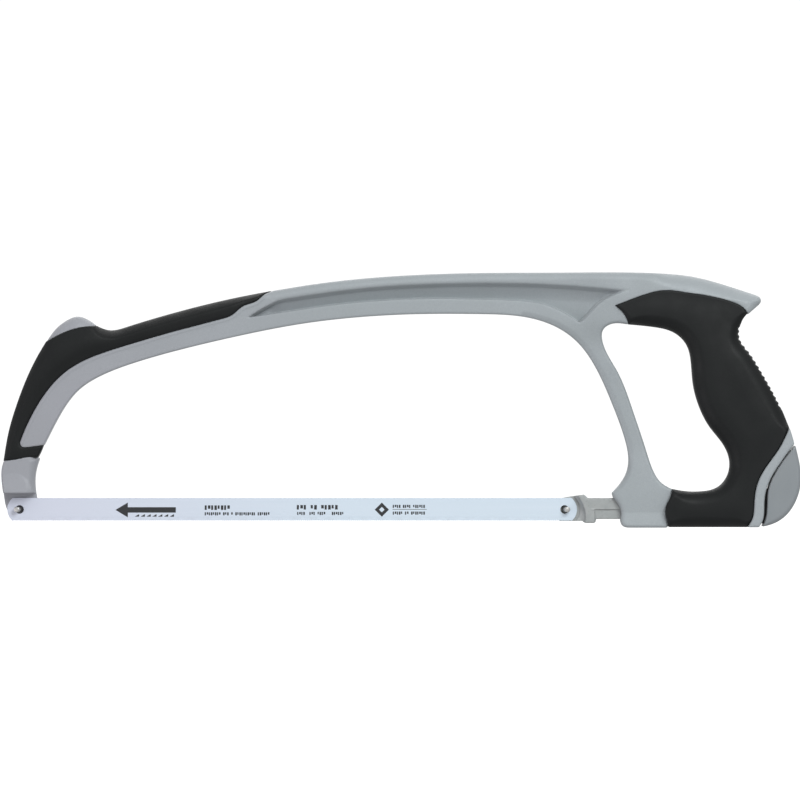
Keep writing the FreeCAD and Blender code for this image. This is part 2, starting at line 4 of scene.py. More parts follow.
import bpy
import numpy as np
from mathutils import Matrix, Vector
from mathutils.geometry import delaunay_2d_cdt


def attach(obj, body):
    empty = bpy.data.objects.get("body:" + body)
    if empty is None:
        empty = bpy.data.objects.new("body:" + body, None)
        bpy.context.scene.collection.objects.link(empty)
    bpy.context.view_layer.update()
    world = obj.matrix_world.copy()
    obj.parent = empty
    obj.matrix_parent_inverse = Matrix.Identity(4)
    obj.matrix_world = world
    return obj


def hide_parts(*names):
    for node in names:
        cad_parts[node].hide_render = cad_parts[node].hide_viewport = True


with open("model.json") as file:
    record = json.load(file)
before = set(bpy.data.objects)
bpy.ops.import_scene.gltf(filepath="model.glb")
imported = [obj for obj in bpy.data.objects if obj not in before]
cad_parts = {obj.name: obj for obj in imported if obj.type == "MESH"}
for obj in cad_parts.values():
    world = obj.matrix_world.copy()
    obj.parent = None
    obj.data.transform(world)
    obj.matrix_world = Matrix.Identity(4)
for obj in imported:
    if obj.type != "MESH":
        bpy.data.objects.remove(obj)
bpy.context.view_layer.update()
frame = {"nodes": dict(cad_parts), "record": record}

# Everything below is in millimetres until a mesh is made. X runs from nose to heel, Z is up, and
# the blade's side faces -Y. Outlines are stretches in the XZ plane: two points are a straight
# line, more are a smooth curve through them.
MM = 0.001

# ---- driving dimensions ----
FRONT_HOLE_X, REAR_HOLE_X = -210.0, 90.0
AXIS_Z = 10.5
BLADE_Z, BLADE_WIDTH, BLADE_THICK = 9.95, 12.7, 0.65
BLADE_HOLE_R, BLADE_FLAT_END, BLADE_END = 2.35, 3.8, 6.8
BLADE_BEVEL = 0.05
SEAT_GAP = 0.05
BLADE_FRONT_Y, BLADE_BACK_Y = -SEAT_GAP - BLADE_THICK, -SEAT_GAP
TOOTH_STRIP, TOOTH_PITCH, TOOTH_DEPTH, TOOTH_SET = 2.2, 25.4 / 24, 0.55, 0.13
# shares of the pitch, and heights over the tips
TOOTH_SHAPE = [(0.0, 0.0), (0.30, 0.12), (0.80, TOOTH_DEPTH), (0.93, TOOTH_DEPTH)]
PIN_R, PIN_TILT, PIN_OFFSET, PIN_OUT, PIN_DEEP = 1.5, 12.0, 0.70, 4.6, 5.0
# distances from the pin's inner end and from its tip, and how much thinner it is there
PIN_ROOT = [(0.0, 0.15), (0.2, 0.0)]
PIN_TIP = [(0.35, 0.0), (0.12, 0.2275), (0.03, 0.455), (0.0, 1.05)]
BAR_HEIGHT, BAR_WIDTH, BAR_REAR_X = 11.6, 10.0, 132.0
SLIDE_GAP = 0.15
WEB_X0, WEB_X1 = 144.0, 148.0
PIVOT_X, HUB_R, HUB_HALF, POCKET_GAP = 185.0, 11.0, 7.4, 0.4
STRIP_HALF, STRIP_ROUND = 16.0, 0.9
OPEN_LEVER_REACH = 21.0     # the open lever comes this far below the saw, so the floor is lower
FRONT_GRIP_HALF, HANDLE_GRIP_HALF, COVER_HALF, SLOT_GAP = 11.5, 15.5, 15.0, 0.02
FRONT_TAPER, HANDLE_TAPER = (-112.0, 40.0, 2.0), (90.0, 36.0, 1.6)   # start, length, depth
FRONT_CROWN, HANDLE_CROWN = (8.0, 1.8), (14.0, 0.9)                  # width, depth
RIB_PITCH, RIB_DEPTH, RIB_Z0, RIB_Z1, RIB_HALF = 2.8, 0.85, 64.5, 112.0, 11.5
RIB_START, RIB_SIDE = 1.4, 3.0                  # over which the ribs rise, at the ends and sides
GROOVE_STEP, GROOVE_STEP_WIDTH = 3.3, 2.7
GROOVE_SLOPE, GROOVE_SLOPE_WIDTH, GROOVE_SLOPE_POWER = 3.6, 9.5, 0.75
GROOVE_HEAD_WIDTH, GROOVE_TAIL_WIDTH, GROOVE_TAIL_STEP = 1.8, 1.4, 0.2
SEAT_TOP = 19.0
BROW_X, BROW_R, BROW_HALF = -213.0, 10.4, 9.3
BROW_SLOPE, BROW_SIDE, BROW_INSET = 0.17, 0.50, 0.5
RUBBER_OVER, RUBBER_REVEAL = 0.8, 0.3
CROWN_BLUR, ROUND_BLUR, GRIP_ROUND_BLUR = 3.0, 2.0, 1.5
TUBE_X, TUBE_START, TUBE_TOP, TUBE_SLOPE = 118.0, 2.0, 8.3, 0.20
RIDGE_HIGH, RIDGE_WIDE, RIDGE_OFF = 0.35, 0.55, 1.0
BEVEL_DEEP, BEVEL_WIDE = 0.9, 3.4
PIN_WELL_R, PIN_WELL_DEEP = 2.9, 3.0
HOUSING_X, HOUSING_Z, HOUSING_HALF, HOUSING_WALL = (150.0, 197.0), (2.8, 50.0), 13.4, 0.4
ROD_HOLE_R = 2.9
TUNNEL_Y, TUNNEL_Z = 5.0, 5.4                   # half width and half height
BORE_X0, NOSE_SEAT_X1 = 100.0, -190.0
BLADE_ROOM = 1.7            # around the blade's rear end, which moves 1.4 mm in the drawbar's head
SEAT_REACH, SET_FADE, TEETH_IN_WAVE = 16.0, 4.0, 9   # the teeth have no set beside the seats
SEAM_X, SEAM_START, SEAM_HIGH, SEAM_WIDE, SEAM_DROP = 104.0, 1.5, 0.22, 0.3, 0.5
NECK_X, NECK_START, NECK_STEP, NECK_RISE, NECK_DROP = 106.2, 0.9, 0.8, 0.5, 0.2
BAR_FRONT_X, BAR_ROUND = 102.8, 0.7
FAR_X, FAR_Y, FAR_Z = 240.0, 40.0, 20.0         # past the saw's ends, sides and foot

# how widely two surfaces blend where they meet
FILLET, RIM, RUBBER_RIM, FINE_RIM, SLOT_RIM = 0.5, 0.3, 0.25, 0.2, 0.1
HEAD_SWEEP = 7.0            # between the seat and the wall of the drawbar's head

# ---- outlines ----
NOSE_OUTER = [(-212.0, 4.9), (-216.4, 9.0), (-218.6, 17.0), (-219.7, 26.0), (-219.3, 34.0),
              (-218.4, 36.8)]
FRONT_CORE_OUTER = [(-216.4, 37.6), (-213.0, 54.0), (-208.2, 70.0), (-201.6, 86.0),
                    (-194.0, 98.6), (-192.6, 100.6)]
THUMB_REST = [(-194.9, 102.6), (-189.6, 109.7), (-184.0, 114.0), (-177.8, 116.1),
              (-172.0, 114.2), (-167.6, 111.1)]
FRONT_CORE_TOP = [(-167.0, 108.2), (-160.0, 105.9), (-150.0, 107.9), (-130.0, 114.1),
                  (-110.0, 119.4), (-90.0, 124.0), (-80.0, 126.8)]
SPINE_TOP = [(-70.2, 130.3), (-50.0, 133.6), (-22.0, 136.9), (10.0, 139.1), (44.0, 140.1),
             (88.0, 140.3), (121.0, 140.4), (143.0, 139.8), (160.0, 138.1), (177.0, 133.8),
             (195.2, 127.9)]
HORN_TIP = [(195.2, 127.9), (197.5, 126.4), (198.0, 124.5), (196.4, 122.2)]
HORN_UNDER = [(190.8, 117.4), (185.6, 117.0)]
HANDLE_CORE_BACK = [(185.6, 117.0), (183.0, 107.5), (187.0, 97.0), (194.0, 84.6),
                    (200.6, 72.0), (206.4, 59.0), (208.4, 54.2)]
STRIP_OUTER = [(213.6, 54.2), (215.2, 49.2), (216.0, 45.9)]
STRIP_REAR = [(216.0, 45.9), (213.1, 42.4), (209.2, 36.9), (205.2, 31.0), (202.3, 25.6),
              (200.3, 20.0), (199.5, 14.0), (199.4, 9.0), (198.6, 3.9), (196.6, 0.3)]
SOCKET_FOOT = [(190.8, 0.3), (190.8, 2.6), (147.4, 2.6), (146.2, 0.0), (124.6, 0.0)]
MOUTH_LIP = [(124.6, 0.0), (122.3, 0.6), (120.9, 2.6), (120.6, 4.2)]
MOUTH_EDGE = [(120.6, 4.2), (121.0, 8.0), (119.4, 13.0), (116.6, 16.6)]
STRUT_THROAT = [(115.8, 19.0), (119.6, 23.1), (123.4, 29.0), (125.1, 36.5), (123.6, 47.0),
                (116.2, 68.0), (106.0, 90.0), (96.6, 102.5), (85.0, 110.6), (68.0, 115.9),
                (44.0, 117.5), (10.0, 117.5), (-22.0, 115.9), (-55.0, 112.1),
                (-88.0, 105.8), (-120.0, 98.3), (-148.0, 90.3), (-166.0, 83.2),
                (-177.8, 75.4), (-187.0, 63.2), (-195.4, 47.2), (-196.2, 45.6)]
UNDER_BAND = [(-198.2, 44.6), (-200.8, 39.2)]
NOSE_INNER = [(-198.7, 38.1), (-200.6, 32.0), (-201.3, 25.5), (-200.6, 17.5),
              (-200.3, 11.0), (-202.5, 6.2), (-212.0, 4.9)]
WINDOW_METAL = [(124.9, 111.8), (116.0, 112.1), (111.0, 108.6), (110.8, 102.4),
                (118.7, 86.4), (127.5, 64.4), (134.8, 42.4), (138.6, 31.4), (142.9, 24.9),
                (149.0, 21.3)]
WINDOW_GRIP = [(149.0, 21.3), (156.0, 20.1), (166.0, 20.0), (173.6, 21.9), (179.4, 28.2),
               (180.8, 36.4), (177.4, 45.6), (170.0, 55.2), (164.0, 66.8), (160.7, 79.0),
               (159.6, 91.0), (157.4, 100.0), (150.4, 107.2), (140.0, 110.2), (124.9, 111.8)]
WINDOW_CORE = [(149.4, 18.2), (166.0, 17.0), (175.4, 19.4), (182.4, 26.8), (184.0, 36.8),
               (180.4, 47.2), (173.0, 57.0), (167.0, 68.4), (163.8, 80.0), (162.7, 91.6),
               (160.2, 101.9), (152.0, 110.0), (140.6, 113.3), (125.4, 114.8)]
HANDLE_TOP_EDGE = [(117.6, 122.2), (131.0, 127.4), (143.4, 130.6), (156.0, 129.6),
                   (171.0, 127.2), (182.0, 124.2), (188.6, 120.6), (190.6, 118.0)]
HANDLE_NECK = [(190.6, 118.0), (187.8, 114.4), (186.2, 110.0)]
HANDLE_BACK = [(186.2, 110.0), (186.4, 104.0), (190.6, 97.6), (197.9, 86.4), (204.2, 75.4),
               (209.6, 64.4), (213.4, 54.9)]
HANDLE_STRIP_EDGE = [(213.4, 54.9), (207.2, 42.6), (199.4, 31.5), (195.2, 22.0),
                     (194.0, 12.0), (193.0, 4.8), (190.4, 0.3)]
HANDLE_FOOT = [(190.4, 0.3), (147.2, 0.3)]
HANDLE_LOWER_EDGE = [(147.2, 0.3), (145.5, 6.0), (145.4, 11.4), (148.0, 17.2),
                     (149.0, 21.3)]
HANDLE_UPPER_EDGE = [(124.9, 111.8), (123.2, 116.4), (117.6, 122.2)]
GRIP_OUTER = [(-218.7, 36.5), (-216.1, 52.0), (-211.4, 68.0), (-205.2, 84.0),
              (-197.6, 98.6), (-195.3, 102.3)]
GRIP_REST_EDGE = [(-195.3, 102.3), (-187.0, 106.8), (-177.6, 110.0), (-167.7, 111.1)]
GRIP_TOP = [(-167.7, 111.1), (-160.4, 108.6), (-151.0, 110.4), (-132.0, 116.2),
            (-110.0, 122.1), (-88.0, 127.1), (-70.4, 130.4)]
GRIP_TIP = [(-70.4, 130.4), (-75.4, 127.6), (-79.4, 124.2), (-86.8, 121.4),
            (-92.6, 116.8), (-96.0, 115.2)]
GRIP_RAIL = [(-96.0, 115.2), (-121.0, 108.7), (-143.0, 102.4), (-160.0, 97.1),
             (-174.0, 91.7), (-185.0, 84.8), (-194.0, 75.4), (-201.2, 64.4),
             (-206.6, 53.4), (-209.2, 46.8)]
GRIP_RAIL_END = [(-209.2, 46.8), (-208.6, 44.9), (-206.4, 44.4)]
GRIP_RAIL_FOOT = [(-206.4, 44.4), (-196.6, 45.7)]
GRIP_BAND = [(-196.6, 45.7), (-198.0, 42.0), (-199.7, 38.7)]
GRIP_FOOT = [(-199.7, 38.7), (-205.0, 38.6), (-212.0, 37.2), (-218.7, 36.5)]
GROOVE_LOWER = [(-85.0, 115.4), (-60.0, 119.2), (-34.0, 122.9), (-6.0, 125.2),
                (20.0, 126.0), (46.0, 125.5), (68.0, 124.5), (79.0, 122.7), (88.0, 119.0),
                (98.4, 112.7)]
GROOVE_TAIL = [(98.4, 112.7), (102.6, 116.6), (107.6, 122.0), (115.0, 127.0),
               (125.4, 130.6)]
GROOVE_UPPER = [(125.4, 130.6), (95.0, 133.4), (60.0, 134.9), (20.0, 134.6),
                (-16.0, 132.6), (-45.0, 129.2), (-66.0, 126.0)]
GROOVE_HEAD = [(-66.0, 126.0), (-76.0, 121.0), (-85.0, 115.4)]
LEVER_FRONT = [(216.6, 45.2), (210.1, 37.1), (206.2, 31.2), (203.3, 25.6), (201.6, 19.8),
               (201.2, 13.0), (200.9, 8.0), (200.0, 3.8), (198.6, 0.6)]
LEVER_BACK = [(198.6, 0.6), (203.4, 1.8), (211.4, 6.7), (217.2, 15.4), (219.6, 25.0),
              (219.1, 34.0), (216.6, 45.2)]
LEVER_CORE = [(185.0, 2.3), (185.0, 21.5), (205.0, 21.5), (209.4, 29.2), (212.6, 27.0),
              (212.8, 19.0), (208.4, 9.2), (200.6, 3.2), (199.4, 2.3)]
HEAD_FRONT = [(87.4, 3.6), (84.9, 6.4), (84.6, 10.0), (84.9, 13.4), (87.0, 16.0)]
HEAD_TOP = [(87.0, 16.0), (93.6, 17.2), (100.8, 18.2)]
HEAD_LUG = [(107.3, 4.7), (107.0, 3.2), (106.2, 2.5), (101.4, 2.5), (100.6, 2.8), (99.8, 3.6),
            (87.4, 3.6)]
SEAT_WALL = [(96.6, 19.0), (100.0, 13.4), (101.7, 8.0), (101.4, 2.0)]
SEAT_AHEAD = [(101.4, 2.0), (70.0, 0.0), (70.0, 25.0), (96.6, 19.0)]

# x, z and half thickness of the casting; in between it changes smoothly
THICKNESS = [(-212, 12, 9.2), (-210, 32, 9.4), (-204, 55, 9.8), (-190, 82, 9.4),
             (-180, 112, 8.8), (-140, 106, 8.7), (-95, 119, 8.2), (-40, 127, 8.0),
             (20, 129, 8.0), (60, 130, 8.2), (92, 124, 9.0), (112, 120, 11.0),
             (122, 128, 12.6), (140, 131, 13.8), (158, 130, 13.8), (176, 126, 13.2),
             (188, 121, 12.0), (128, 140, 11.0), (150, 140, 11.4), (170, 137, 11.0),
             (186, 131, 10.2), (198, 125, 9.0), (106, 98, 7.4), (116, 72, 6.6),
             (126, 46, 6.8), (126, 28, 8.0), (128, 17, 9.4), (130, 5, 10.0), (144, 8, 10.0),
             (150, 124, 11.5), (172, 112, 10.8), (175, 85, 10.8), (190, 60, 10.8)]
THICKNESS_REACH = 160.0     # square millimetres over which one value gives way to the next

# each stretch of the casting's edge with the radius that it is rounded to
EDGE_ROUNDS = [(NOSE_OUTER, 1.8), (NOSE_INNER[:4], 5.5), (NOSE_INNER[3:], 2.0),
               (FRONT_CORE_OUTER, 2.0), (THUMB_REST, 7.5), (FRONT_CORE_TOP, 2.0),
               (SPINE_TOP[:8], 4.2), (SPINE_TOP[7:], 10.0), (HORN_TIP, 5.0), (HORN_UNDER, 2.0),
               (HANDLE_CORE_BACK, 2.0),
               (SOCKET_FOOT[-2:], 1.6), (MOUTH_LIP, 2.0), (MOUTH_EDGE, 2.2),
               (STRUT_THROAT[:4], 3.0), (STRUT_THROAT[3:], 0.9), (WINDOW_METAL, 1.7)]
# the rubber's and the lever's outlines, stretch by stretch, in the same way
GRIP_ROUNDS = [(GRIP_OUTER, 5.5), (GRIP_REST_EDGE, 1.6), (GRIP_TOP, 8.0), (GRIP_TIP, 1.4),
               (GRIP_RAIL, 1.8), (GRIP_RAIL_END, 1.2), (GRIP_RAIL_FOOT, 1.2),
               (GRIP_BAND, 2.0), (GRIP_FOOT, 1.0)]
HANDLE_ROUNDS = [(HANDLE_TOP_EDGE, 0.9), (HANDLE_NECK, 4.0), (HANDLE_BACK, 8.0),
                 (HANDLE_STRIP_EDGE, 1.0), (HANDLE_FOOT, 6.0), (HANDLE_LOWER_EDGE, 1.4),
                 (WINDOW_GRIP, 7.5), (HANDLE_UPPER_EDGE, 1.4)]
LEVER_ROUNDS = [(LEVER_FRONT, 0.7), (LEVER_BACK, 2.2)]

# ---- light ----
BACKDROP = 1.06
ROOM_LEVEL, ROOM_UP, ROOM_STEEP = 0.53, 0.13, 0.30

# ---- blade print ----
ARROW = [(-157.2, 9.7), (-150.4, 5.6), (-150.4, 8.2), (-124.0, 8.2), (-124.0, 11.2),
         (-150.4, 11.2), (-150.4, 13.8)]
MARKS, MARK_X, MARK_PITCH, MARK_WIDTH, MARK_Z0, MARK_Z1 = 7, -146.6, 3.2, 2.4, 6.0, 7.4
# each row from x to x and from z to z, a block's width, and the blocks left out
PRINT_ROWS = [(-108.1, -92.6, 9.7, 12.2, 1.35, ()),
              (-108.1, -72.0, 6.7, 8.4, 0.85, (8, 12, 14, 25)),
              (-57.4, -32.6, 9.9, 12.4, 1.45, (3, 6)),
              (-57.2, -30.3, 6.9, 8.6, 0.85, (4, 5, 9, 14, 15, 16)),
              (-4.6, 14.0, 10.8, 12.5, 0.85, (4, 9)),
              (-4.6, 14.0, 7.1, 8.8, 0.85, (5, 8))]
RULE = (-4.7, 14.1, 9.85, 10.1)
DIAMOND_X, DIAMOND_Z, DIAMOND_OUT, DIAMOND_IN = -10.6, 9.85, 3.9, 1.5
BLOCK_PITCH, BLOCK_NARROW, BLOCK_LOW = 1.32, 0.8, 0.24     # shares of a block's size
INK_OVER, INK_UNDER = 0.02, 0.01                # the blade's painted side


# ---- curves and distances ----
def smooth_curve(points, step=1.0):
    """Points along the natural cubic spline through the given ones."""
    p = np.array(points, float)
    chord = np.concatenate([[0.0], np.cumsum(np.hypot(*np.diff(p, axis=0).T))])
    count = max(2, int(chord[-1] / step) + 1)
    t = np.linspace(0.0, chord[-1], count)
    if len(p) == 2:
        return p[0] + (p[1] - p[0]) * (t / chord[-1])[:, None]
    gap = np.diff(chord)
    matrix = np.eye(len(p))
    bend = np.zeros_like(p)
    for i in range(1, len(p) - 1):
        matrix[i, i - 1:i + 2] = gap[i - 1], 2 * (gap[i - 1] + gap[i]), gap[i]
        bend[i] = 6 * ((p[i + 1] - p[i]) / gap[i] - (p[i] - p[i - 1]) / gap[i - 1])
    bend = np.linalg.solve(matrix, bend)
    i = np.clip(np.searchsorted(chord, t, side="right") - 1, 0, len(p) - 2)
    b = ((t - chord[i]) / gap[i])[:, None]
    a = 1 - b
    h2 = (gap[i] ** 2)[:, None] / 6
    return a * p[i] + b * p[i + 1] + h2 * ((a**3 - a) * bend[i] + (b**3 - b) * bend[i + 1])


def polygon(points, step=1.0):
    """Points along straight lines through the given ones."""
    pairs = zip(points, points[1:])
    return np.vstack([smooth_curve([a, b], step) for a, b in pairs])


def join_stretches(*stretches):
    return np.vstack([smooth_curve(s) for s in stretches])


def ease(t):
    """0 below 0, 1 above 1, and a smooth step between."""
    t = np.clip(t, 0, 1)
    return t * t * (3 - 2 * t)


class Grid:
    """A block of sample points. x and z broadcast against y, so a flat field has no depth."""

    def __init__(self, low, high, step):
        axes = [np.arange(a - 3 * step, b + 4 * step, step, dtype=np.float32)
                for a, b in zip(low, high)]
        self.origin = np.array([a[0] for a in axes], float)
        self.step = step
        self.x = axes[0][:, None, None]
        self.y = axes[1][None, :, None]
        self.z = axes[2][None, None, :]
        self.flat = np.broadcast_to(self.x, (len(axes[0]), 1, len(axes[2])))
        self.flat_z = np.broadcast_to(self.z, self.flat.shape)

    def distance(self, line, closed=False):
        """Distance from each point of the side view to a line; negative inside a closed one."""
        x, z = self.flat, self.flat_z
        best = np.full(x.shape, np.inf, np.float32)
        inside = np.zeros(x.shape, bool)
        after = np.roll(line, -1, axis=0) if closed else line[1:]
        for (ax, az), (bx, bz) in zip(line.tolist(), after.tolist()):
            dx, dz = bx - ax, bz - az
            length = dx * dx + dz * dz
            if length < 1e-9:
                continue
            t = np.clip(((x - ax) * dx + (z - az) * dz) / length, 0, 1)
            best = np.minimum(best, (x - ax - t * dx) ** 2 + (z - az - t * dz) ** 2)
            if closed and az != bz:
                inside ^= ((az > z) != (bz > z)) & (x < dx * (z - az) / dz + ax)
        best = np.sqrt(best)
        return np.where(inside, -best, best) if closed else best

    def outline(self, *stretches):
        """Distance to the closed line that the stretches make."""
        return self.distance(join_stretches(*stretches), closed=True)

    def near(self, stretch):
        return self.distance(smooth_curve(stretch, 1.5))

    def plate(self, edge, half, radius):
        """A plate with the given side view and half thickness, its edges rounded."""
        out = edge + radius
        up = np.abs(self.y) - half + radius
        corner = np.hypot(np.maximum(out, 0), np.maximum(up, 0))
        return corner + np.minimum(np.maximum(out, up), 0) - radius

    def block(self, x, y, z):
        sides = [np.abs(c - (lo + hi) / 2) - (hi - lo) / 2
                 for c, (lo, hi) in ((self.x, x), (self.y, y), (self.z, z))]
        return np.maximum(np.maximum(sides[0], sides[1]), sides[2])


def blend(a, b, k):
    """The union of two fields, with their meeting rounded by about k."""
    h = np.clip(0.5 + 0.5 * (b - a) / k, 0, 1)
    return b + (a - b) * h - k * h * (1 - h)


def carve(a, b, k):
    """Field a without b, with the rim rounded by about k."""
    return -blend(-a, b, k)


def softened(grid, flat, reach_mm):
    """A side-view field averaged over its neighbours."""
    reach = round(reach_mm / grid.step)
    far = 3 * reach
    kernel = np.exp(-(np.arange(-far, far + 1) / reach) ** 2 / 2)
    kernel /= kernel.sum()
    flat = flat[:, 0, :]
    for axis in (0, 1):
        pad = [(0, 0), (0, 0)]
        pad[axis] = (far, far)
        wide = np.pad(flat, pad, mode="edge")
        flat = np.apply_along_axis(np.convolve, axis, wide, kernel, mode="valid")
    return flat[:, None, :].astype(np.float32)


def weighted(grid, stretches):
    """The value of the nearest stretch, changing smoothly from one to the next."""
    least, power = 0.4, 4
    total = value = 0
    for stretch, amount in stretches:
        weight = 1 / (grid.near(stretch) + least) ** power
        total = total + weight
        value = value + amount * weight
    return value / total


# ---- meshes ----
def sample(field, at):
    """The field's value between its sample points; at counts in steps from the first."""
    top = np.array(field.shape) - 1.001
    at = np.clip(at, 0, top)
    base = at.astype(int)
    part = at - base
    value = 0
    for corner in np.ndindex(2, 2, 2):
        share = np.prod(np.where(corner, part, 1 - part), axis=1)
        value = value + share * field[tuple((base + corner).T)]
    return value


def slope(field, at, reach=0.6):
    """How steeply the field rises along each axis, per step."""
    rise = [sample(field, at + s) - sample(field, at - s) for s in np.eye(3) * reach]
    return np.stack(rise, axis=1) / (2 * reach)


def build_mesh(name, points, faces):
    mesh = bpy.data.meshes.new(name)
    mesh.from_pydata(points, [], faces)
    mesh.update()
    return mesh


def place(name, mesh, body, material, nodes):
    piece = bpy.data.objects.new(name, mesh)
    bpy.context.scene.collection.objects.link(piece)
    mesh.materials.clear()
    mesh.materials.append(material)
    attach(piece, body)
    if nodes:
        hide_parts(*nodes)
    return piece


def skin(name, grid, field, most_faces):
    """The field's zero surface as a mesh whose normals follow the field."""
    field = np.ascontiguousarray(field, dtype=np.float32)
    cells = np.array(field.shape) - 1
    cell_ids, crossings, quads = [], [], []
    for axis in range(3):
        low, high = [slice(None)] * 3, [slice(None)] * 3
        low[axis], high[axis] = slice(0, -1), slice(1, None)
        first, second = field[tuple(low)], field[tuple(high)]
        at = np.argwhere((first < 0) != (second < 0))
        a, b = first[tuple(at.T)], second[tuple(at.T)]
        point = at.astype(float)
        point[:, axis] += a / (a - b)
        around = []
        u, v = (axis + 1) % 3, (axis + 2) % 3
        for back_u, back_v in ((1, 1), (0, 1), (0, 0), (1, 0)):
            cell = at.copy()
            cell[:, u] -= back_u
            cell[:, v] -= back_v
            around.append(np.ravel_multi_index(cell.T, cells))
            crossings.append(point)
        cell_ids += around
        around = np.stack(around, axis=1)
        quads.append(np.where((a < 0)[:, None], around, around[:, ::-1]))
    ids, index = np.unique(np.concatenate(cell_ids), return_inverse=True)
    crossings = np.concatenate(crossings)
    count = np.bincount(index)
    points = np.stack([np.bincount(index, crossings[:, k]) / count for k in range(3)], axis=1)
    faces = np.searchsorted(ids, np.concatenate(quads))
    mesh = build_mesh(name, (grid.origin + points * grid.step) * MM, faces)
    mesh = thinned(mesh, most_faces / (2 * len(faces)))
    points = np.zeros(len(mesh.vertices) * 3, np.float32)
    mesh.vertices.foreach_get("co", points)
    at = (points.reshape(-1, 3) / MM - grid.origin) / grid.step
    for _ in range(2):
        rise = slope(field, at)
        off = sample(field, at) / np.maximum((rise**2).sum(1), 1e-3)
        at = at - np.clip(off, -0.5, 0.5)[:, None] * rise
    points = (grid.origin + at * grid.step) * MM
    mesh.vertices.foreach_set("co", points.astype(np.float32).ravel())
    normals = slope(field, at)
    normals /= np.maximum(np.linalg.norm(normals, axis=1), 1e-9)[:, None]
    mesh.shade_smooth()
    mesh.normals_split_custom_set_from_vertices(normals.tolist())
    mesh.update()
    return mesh


def thinned(mesh, ratio):
    """The mesh with fewer faces, where it has more than it needs."""
    if ratio >= 1:
        return mesh
    holder = bpy.data.objects.new("holder", mesh)
    bpy.context.scene.collection.objects.link(holder)
    modifier = holder.modifiers.new("thin", "DECIMATE")
    modifier.ratio = ratio
    shapes = bpy.context.evaluated_depsgraph_get()
    light = bpy.data.meshes.new_from_object(holder.evaluated_get(shapes))
    light.name = mesh.name
    bpy.data.objects.remove(holder)
    return light


def closed_line(points):
    """The points without repeats, for a loop."""
    keep = [i for i in range(len(points)) if math.dist(points[i], points[i - 1]) > 1e-6]
    return np.array(points)[keep]


def inset(loop, amount):
    """The loop moved inwards, to the left of its direction."""
    along = np.roll(loop, -1, axis=0) - np.roll(loop, 1, axis=0)
    along /= np.linalg.norm(along, axis=1)[:, None]
    return loop + amount * np.stack([-along[:, 1], along[:, 0]], axis=1)


def sheet_mesh(name, outer, holes, y_front, y_back, bevel):
    """A thin plate with holes. Loops run so that metal is on their left, seen from the front."""
    loops = [outer, *holes]
    levels = [(y_front, bevel), (y_front + bevel, 0), (y_back - bevel, 0), (y_back, bevel)]
    points, faces = [], []
    rims = []
    for loop in loops:
        rows = []
        for y, off in levels:
            start = len(points)
            points += [(x, y, z) for x, z in inset(loop, off)]
            rows.append(range(start, start + len(loop)))
        for upper, lower in zip(rows, rows[1:]):
            for k in range(len(loop)):
                n = (k + 1) % len(loop)
                faces.append((upper[k], lower[k], lower[n], upper[n]))
        rims.append(rows)
    for side, flip in ((0, False), (3, True)):
        keys = [i for rows in rims for i in rows[side]]
        flat = [Vector((points[i][0], points[i][2])) for i in keys]
        edges, start = [], 0
        for loop in loops:
            count = len(loop)
            edges += [(start + k, start + (k + 1) % count) for k in range(count)]
            start += count
        triangles = delaunay_2d_cdt(flat, edges, [], 1, 1e-7)[2]
        for triangle in triangles:
            middle = sum((flat[i] for i in triangle), Vector((0, 0))) / 3
            if any((middle - Vector(hole.mean(0))).length < BLADE_HOLE_R for hole in holes):
                continue
            face = [keys[i] for i in triangle]
            faces.append(face[::-1] if flip else face)
    return build_mesh(name, np.array(points) * MM, faces)


def turned(name, profile, start, direction, count=64):
    """A solid of revolution: profile is (distance along, radius) pairs from end to end."""
    direction = Vector(direction).normalized()
    side = direction.orthogonal().normalized()
    up = direction.cross(side)
    points, faces = [], []
    for along, radius in profile:
        for k in range(count):
            a = 2 * math.pi * k / count
            points.append(Vector(start) + direction * along
                          + (side * math.cos(a) + up * math.sin(a)) * radius)
    for ring in range(len(profile) - 1):
        for k in range(count):
            a, b = ring * count + k, ring * count + (k + 1) % count
            faces.append((a, b, b + count, a + count))
    faces.append(list(range(count))[::-1])
    faces.append([(len(profile) - 1) * count + k for k in range(count)])
    return build_mesh(name, [p * MM for p in points], faces)


# ---- materials ----
def add_node(tree, kind, inputs, **settings):
    """A node whose inputs are each a plain value or the output of another node."""
    node = tree.nodes.new(kind)
    for key, value in settings.items():
        setattr(node, key, value)
    for key, value in inputs.items():
        if isinstance(value, bpy.types.NodeSocket):
            tree.links.new(value, node.inputs[key])
        else:
            node.inputs[key].default_value = value
    return node


